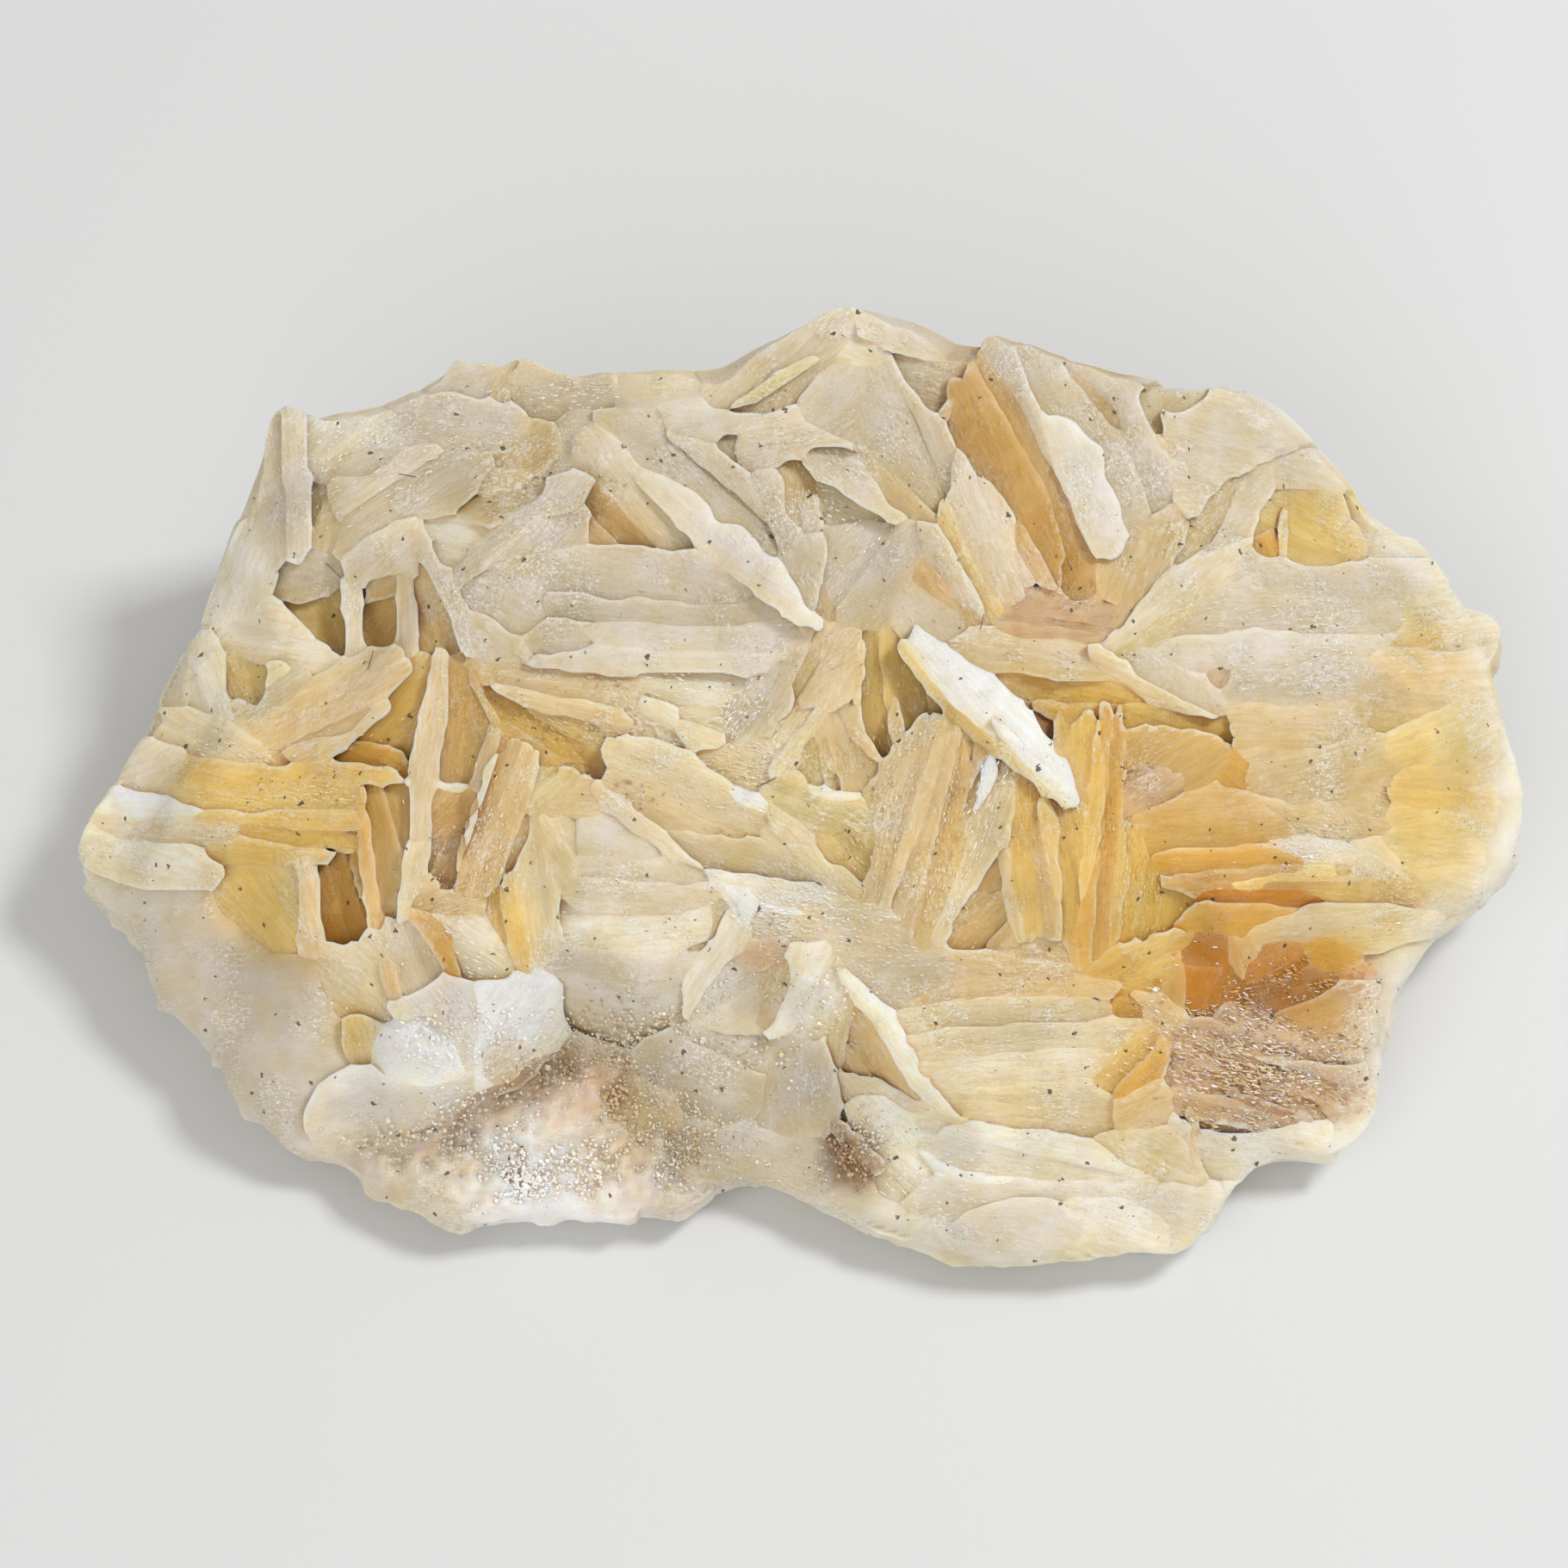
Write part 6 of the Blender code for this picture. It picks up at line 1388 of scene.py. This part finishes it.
# %% [markdown]
# The skin then runs over the rim, down a rounded, ribbed wall and closes under the flat cut. Most
# of this wall isn't seen from above, so it is plain pale rind with a few darker clouds.

# %% The wall below the rim
WALL = [(0.4, 0.0), (0.75, 0.0), (1.0, 0.0)] + [(1.0, n / 12) for n in range(1, 13)]
CUT_INSET, CUT_CURVE, RIM_DROP = 0.90, 2.2, 0.3
UNSEEN_FROM, UNSEEN_OVER, UNSEEN_RINGS = -12.0, 20.0, 4.0
SEEN_ACROSS, SEEN_UP = 58, 40


def wall_lumps(ring, fall):
    """How far the wall stands out: worn lumps, and ribs below the rim."""
    lumps = field(ring, 5.0, 1) * 0.5 + field(ring, 2.1, 2) * 0.22
    ribs = 0.8 - np.abs(field(ring * (1.0, 1.0, 0.5), 4.5, 21)) * 2.0
    ribs = ribs - np.abs(field(ring * (1.0, 1.0, 0.6), 1.7, 24)) * 0.7
    return lumps + ribs * min(1.0, fall * 4.0)


def wall_rings(start):
    """Rings of points from the rim down to the cut."""
    turn, reach = turn_and_reach(start[:, 0], start[:, 1])
    rim_reach, level = rim_at(turn)
    widest, level = np.maximum(reach, rim_reach), np.minimum(level, start[:, 2] - RIM_DROP)
    ways = np.stack((np.cos(turn), np.sin(turn)), axis=-1)
    for shoulder, fall in WALL:
        bend = shoulder * math.pi / 2
        out = reach + (widest - reach) * math.sin(bend)
        out = out * (1.0 - (1.0 - CUT_INSET) * fall ** CUT_CURVE)
        height = (start[:, 2] + (level - start[:, 2]) * (1.0 - math.cos(bend))) * (1.0 - fall)
        ring = np.column_stack((CENTRE[:2] + ways * out[:, None], height))
        free = min(1.0, shoulder * 0.6 + fall * 3.0)
        ring[:, :2] += ways * wall_lumps(ring, fall)[:, None] * free
        yield ring


def close_below():
    """The rings under the rim, and their faces with the skin and the cut."""
    seats = np.nonzero(on_rim)[0]
    order = np.argsort(point, kind="stable")
    start = top[order[np.searchsorted(point[order], seats)]]
    rings = list(wall_rings(start))
    seat_of = np.zeros(STRIDE, int)
    seat_of[seats] = np.arange(len(seats))
    first, second, left, right = open_edges.T
    swap = left == OUTSIDE
    ends = np.where(swap, second, first), np.where(swap, first, second)
    inside = np.where(swap, right, left)
    upper = [number_of(inside, place) for place in ends]
    faces = []
    for number in range(len(WALL)):
        lower = [len(top) + number * len(seats) + seat_of[place] for place in ends]
        faces.append(np.stack((upper[1], upper[0], lower[0], lower[1]), axis=-1))
        upper = lower
    middle = np.full(len(inside), len(top) + len(WALL) * len(seats))
    faces.append(np.stack((upper[1], upper[0], middle), axis=-1))
    return np.concatenate(rings + [CENTRE[None] * (1.0, 1.0, 0.0)]), faces


def wall_colour(below, x, v):
    """Tint of the wall: the ground's own at the rim, and paler rind where it isn't seen."""
    ring = np.append(np.repeat(np.arange(len(WALL)), np.count_nonzero(on_rim)), len(WALL))
    pale = np.clip(field(below, 7.0, 22) + 0.5, 0.0, 1.0)[:, None]
    stone = towards(linear("rind"), linear("white"), pale)
    stone = stone * (1.0 + field(below, 1.6, 23)[:, None] * (0.07, 0.09, 0.13))
    unseen = np.clip((below[:, 1] - UNSEEN_FROM) / UNSEEN_OVER, 0.3, 0.95)
    unseen = unseen * np.minimum(1.0, ring / UNSEEN_RINGS)
    ground = ground_tint(np.clip(x, -SEEN_ACROSS, SEEN_ACROSS), np.clip(v, -SEEN_UP, SEEN_UP))
    return towards(ground, stone, unseen[:, None])


below, wall_faces = close_below()
place = np.stack(seen_from(below) + (np.ones(len(below)),), axis=-1)
skin = Heap()
skin.add(np.concatenate((top, below)), quads,
         np.concatenate((tint, wall_colour(below, *place[:, :2].T))), np.concatenate((grain, place)))
skin.faces += [walls] + wall_faces
skin.build("barite_skin", CRYSTAL, 30.0)

# %% [markdown]
# ## Crust and small grains
# At the front left, and in the brown pocket at the right, the stone has not grown blades but a
# crust of small angular grains, drawn out to needles in the pocket. Dirt in a few cracks is made
# the same way. Each grain is a box with its corners pushed about at random. The patches are listed
# with their half sizes, the number of grains, how drawn out the grains are and their tints.

# %% Boxes with knocked corners
CORNERS = np.array(list(np.ndindex(2, 2, 2)), float) * 2.0 - 1.0
BOX = np.array([(0, 1, 3, 2), (4, 6, 7, 5), (0, 4, 5, 1), (2, 3, 7, 6), (0, 2, 6, 4), (1, 5, 7, 3)])
FULL_TURN = 6.3
SPREAD = 0.6
NOT_MATTE = (1.0, 1.0, 0.0)


def knocked_box(chance, size, knock):
    """Corners of a box of the given half size, each pushed off its place."""
    return (CORNERS + chance.uniform(-knock, knock, CORNERS.shape)) * size


def turned(points, turns):
    """Points turned about x, y and z."""
    for axis, turn in enumerate(turns):
        a, b = (axis + 1) % 3, (axis + 2) % 3
        points = points.copy()
        points[:, a], points[:, b] = (points[:, a] * math.cos(turn) - points[:, b] * math.sin(turn),
                                      points[:, a] * math.sin(turn) + points[:, b] * math.cos(turn))
    return points


def strewn(chance, x0, v0, wide, tall, count):
    """Places scattered round x0, v0, most of them near the middle."""
    return chance.normal((x0, v0), (wide * SPREAD, tall * SPREAD), (count, 2))


print("a box has", len(CORNERS), "corners and", len(BOX), "sides")

# %% Grains of the crust
CRUST = [
    (-26, -29.5, 10, 4.4, 900, 1, "pinkish milk snow"),
    (-15, -29.5, 8, 3.8, 900, 1, "snow cream pinkish snow"),
    (-14, -21.5, 4.5, 5.0, 1000, 1, "grey tan brown cream"),
    (-22, -31.0, 3.0, 1.4, 300, 1, "snow white"), (-8, -22, 4, 7, 500, 1, "grey cream"),
    (-10, -28.5, 3.2, 1.5, 200, 1, "brown olive tan"),
    (35.5, -21.5, 7, 4.6, 2600, 5, "pinkish matrix snow umber peach"),
    (31, -17.0, 3.0, 2.6, 260, 3, "amber orange snow"),
    (39, -16.0, 4.0, 2.6, 400, 4, "brown amber orange matrix"),
    (-26, -20, 6, 4.5, 400, 1, "snow lilac lilac"), (4.2, -28.4, 2.0, 2.2, 420, 1, "umber tan"),
    (-18.5, 23.3, 4.0, 0.5, 30, 1, "umber brown"), (-14, -0.8, 2.6, 1.4, 36, 1, "umber"),
    (-18, 6.8, 6.0, 0.7, 50, 1, "umber brown"), (-17, 4.6, 4.0, 1.2, 30, 1, "umber"),
    (0, -18, 6, 6, 300, 1, "grey cream snow"),
]
GRAIN_SUNK, RIM_SHARE = 0.05, 0.02

heap = Heap()
for *patch, drawn, tints in CRUST:
    chance = np.random.default_rng(patch[-1])
    x, v = strewn(chance, *patch).T
    sheet = sheet_at(x, v)
    places = on_top(x, v, sheet[:, LIFT] - GRAIN_SUNK)
    kept = from_rim(places[:, 0], places[:, 1])[1] > RIM_SHARE
    own = 0.85 if drawn > 1 else 0.5
    for place, around in zip(places[kept], sheet[kept]):
        size = dice.uniform(0.06, 0.15) * chance.uniform(0.4, 1.0, 3)
        turns = chance.uniform(0.0, FULL_TURN, 3)
        if drawn > 1:
            size = size * (drawn, 1.0, 1.0) / drawn ** 0.5
            turns = (turns[0], chance.normal(0.0, 0.15), chance.normal(-0.3, 0.3))
        shape = turned(knocked_box(chance, size, 0.25), turns) + place
        tint = towards(around[TINT], linear(dice.choice(tints.split())), own)
        heap.add(shape, BOX, tint * dice.uniform(0.95, 1.15), shape * NOT_MATTE)
heap.build("crust_grains", GROUND)

# %% [markdown]
# The blades themselves carry tiny chips of broken crystal. They lie along the blade and catch the
# light, and that gives the stone its sugary glitter. A few dark fibres lie across the blades.

# %% Chips and fibres on the blades
CHIPS = [
    (-12, 4, 9, 4, 900), (-4, 2, 4, 6, 500), (8, -5, 5, 8, 900), (-2, -10, 9, 3, 600),
    (14, -2, 4, 4, 300), (26, -6, 6, 6, 600), (40, -5, 6, 3, 500), (-32, 25, 9, 4, 500),
    (-18, 31, 5, 2, 200), (4, 22, 12, 8, 600), (40, 12, 9, 5, 400), (18, -20, 9, 5, 500),
    (-40, 0, 8, 5, 400), (-26, -8, 5, 8, 500), (48, -10, 4, 2, 200), (8, -32, 12, 3, 300),
]
FIBRES = [(-31.2, 24.0, -29.8, 23.7), (-3.5, -0.3, -2.0, 0.5), (13.8, 11.9, 14.1, 13.2),
          (-36.9, 17.2, -35.6, 15.8), (-33.6, 8.6, -33.2, 10.4), (20.5, 17.5, 20.9, 16.4)]
CHIP_LEAST, CHIP_MOST = (0.04, 0.015, 0.015), (0.2, 0.045, 0.04)
CHIP_LIFT, FIBRE_LIFT, FIBRE_HALF = 0.03, 0.35, 0.025
WHITE_SHARE, FIBRE_SHADE = 0.75, 0.1

heap = Heap()
for patch in CHIPS:
    chance = np.random.default_rng(patch[-1] + 7)
    for x, v in strewn(chance, *patch):
        row, column = (int(part) for part in row_and_column(x, v))
        number = owner[np.clip(row, 0, TALL - 1), np.clip(column, 0, WIDE - 1)] // LATHS
        if number < 1:
            continue
        blade = blades[number - 1]
        size = chance.uniform(CHIP_LEAST, CHIP_MOST)
        turn = math.atan2(blade.along[1], blade.along[0]) + chance.normal(0.0, 0.12)
        shape = knocked_box(chance, size, 0.3)
        shape = turned(shape, (chance.uniform(0.0, FULL_TURN), chance.normal(0.0, 0.1), turn))
        shape = shape + on_top(x, v, blade.lie(x, v) + CHIP_LIFT)
        own = linear(blade.tint)
        tint = towards(own, linear("snow"), own[2] / own[0] * WHITE_SHARE)
        heap.add(shape, BOX, tint, shape * NOT_MATTE)
for x0, v0, x1, v1 in FIBRES:
    half = (math.hypot(x1 - x0, v1 - v0) / 2, FIBRE_HALF, FIBRE_HALF)
    shape = turned(CORNERS * half, (0.0, 0.0, math.atan2(v1 - v0, x1 - x0)))
    x, v = np.array((x0 + x1) / 2), np.array((v0 + v1) / 2)
    place = on_top(x, v, sheet_at(x, v)[..., LIFT] + FIBRE_LIFT)
    heap.add(shape + place, BOX, linear("umber") * FIBRE_SHADE, shape * 0.0)
heap.build("chips", GLINT)

# %% [markdown]
# ## Floor, light and camera
# A plain pale floor and large soft lights keep the colours honest: the key stands behind at the
# right, as in a studio, and a broad fill stands in front. The camera stands where the lines of
# sight meet, with a long lens.

# %% Floor
FLOOR_HALF = 3.0
FLOOR_COLOUR, FLOOR_ROUGHNESS = (0.70, 0.71, 0.72, 1.0), 0.8
floor_mesh = bpy.data.meshes.new("floor")
floor_corners = [(x * FLOOR_HALF, y * FLOOR_HALF, 0) for x, y in ((-1, -1), (1, -1), (1, 1), (-1, 1))]
floor_mesh.from_pydata(floor_corners, [], [(0, 1, 2, 3)])
floor = bpy.data.objects.new("floor", floor_mesh)
bpy.context.scene.collection.objects.link(floor)
floor_material = bpy.data.materials.new("floor")
floor_material.use_nodes = True
floor_shader = floor_material.node_tree.nodes["Principled BSDF"]
floor_shader.inputs["Base Color"].default_value = FLOOR_COLOUR
floor_shader.inputs["Roughness"].default_value = FLOOR_ROUGHNESS
floor_mesh.materials.append(floor_material)
print("the floor is", 2 * FLOOR_HALF, "m wide")

# %% Lights
ROOM_COLOUR, ROOM_STRENGTH = (1.0, 0.975, 0.94, 1.0), 0.48
world = bpy.data.worlds.new("studio")
world.use_nodes = True
world.node_tree.nodes["Background"].inputs["Color"].default_value = ROOM_COLOUR
world.node_tree.nodes["Background"].inputs["Strength"].default_value = ROOM_STRENGTH
bpy.context.scene.world = world


def soft_light(name, place, size, power, colour=(1.0, 1.0, 1.0)):
    """A square soft box that looks at the middle of the cluster."""
    lamp = bpy.data.lights.new(name, "AREA")
    lamp.size, lamp.energy, lamp.color = size, power, colour
    thing = bpy.data.objects.new(name, lamp)
    thing.location = place
    thing.rotation_euler = (Vector((0, 0, 0.01)) - thing.location).to_track_quat("-Z", "Y").to_euler()
    bpy.context.scene.collection.objects.link(thing)
    print(name, "gives", power, "W from", place)


soft_light("key", (0.34, 0.10, 0.52), 0.14, 2.07)
soft_light("fill", (-0.25, -0.5, 0.40), 0.6, 1.78, (1.0, 0.99, 0.975))

# %% Camera
FRAME_WIDE = 121.4
FRAME_CENTRE = (-1.37, -0.03)
SENSOR_WIDE = 36.0
camera_data = bpy.data.cameras.new("camera")
camera_data.sensor_width = SENSOR_WIDE
camera_data.lens = SENSOR_WIDE * SIGHT_REACH / FRAME_WIDE
camera_data.clip_start = 0.01
camera = bpy.data.objects.new("camera", camera_data)
camera.location = (EYE + ACROSS * FRAME_CENTRE[0] + UPHILL * FRAME_CENTRE[1]) * MM
camera.rotation_euler = (math.pi / 2 - SIGHT_RISE, 0.0, 0.0)
bpy.context.scene.collection.objects.link(camera)
bpy.context.scene.camera = camera
bpy.context.scene.view_settings.view_transform = "Standard"
print("the lens is", round(camera_data.lens), "mm long")
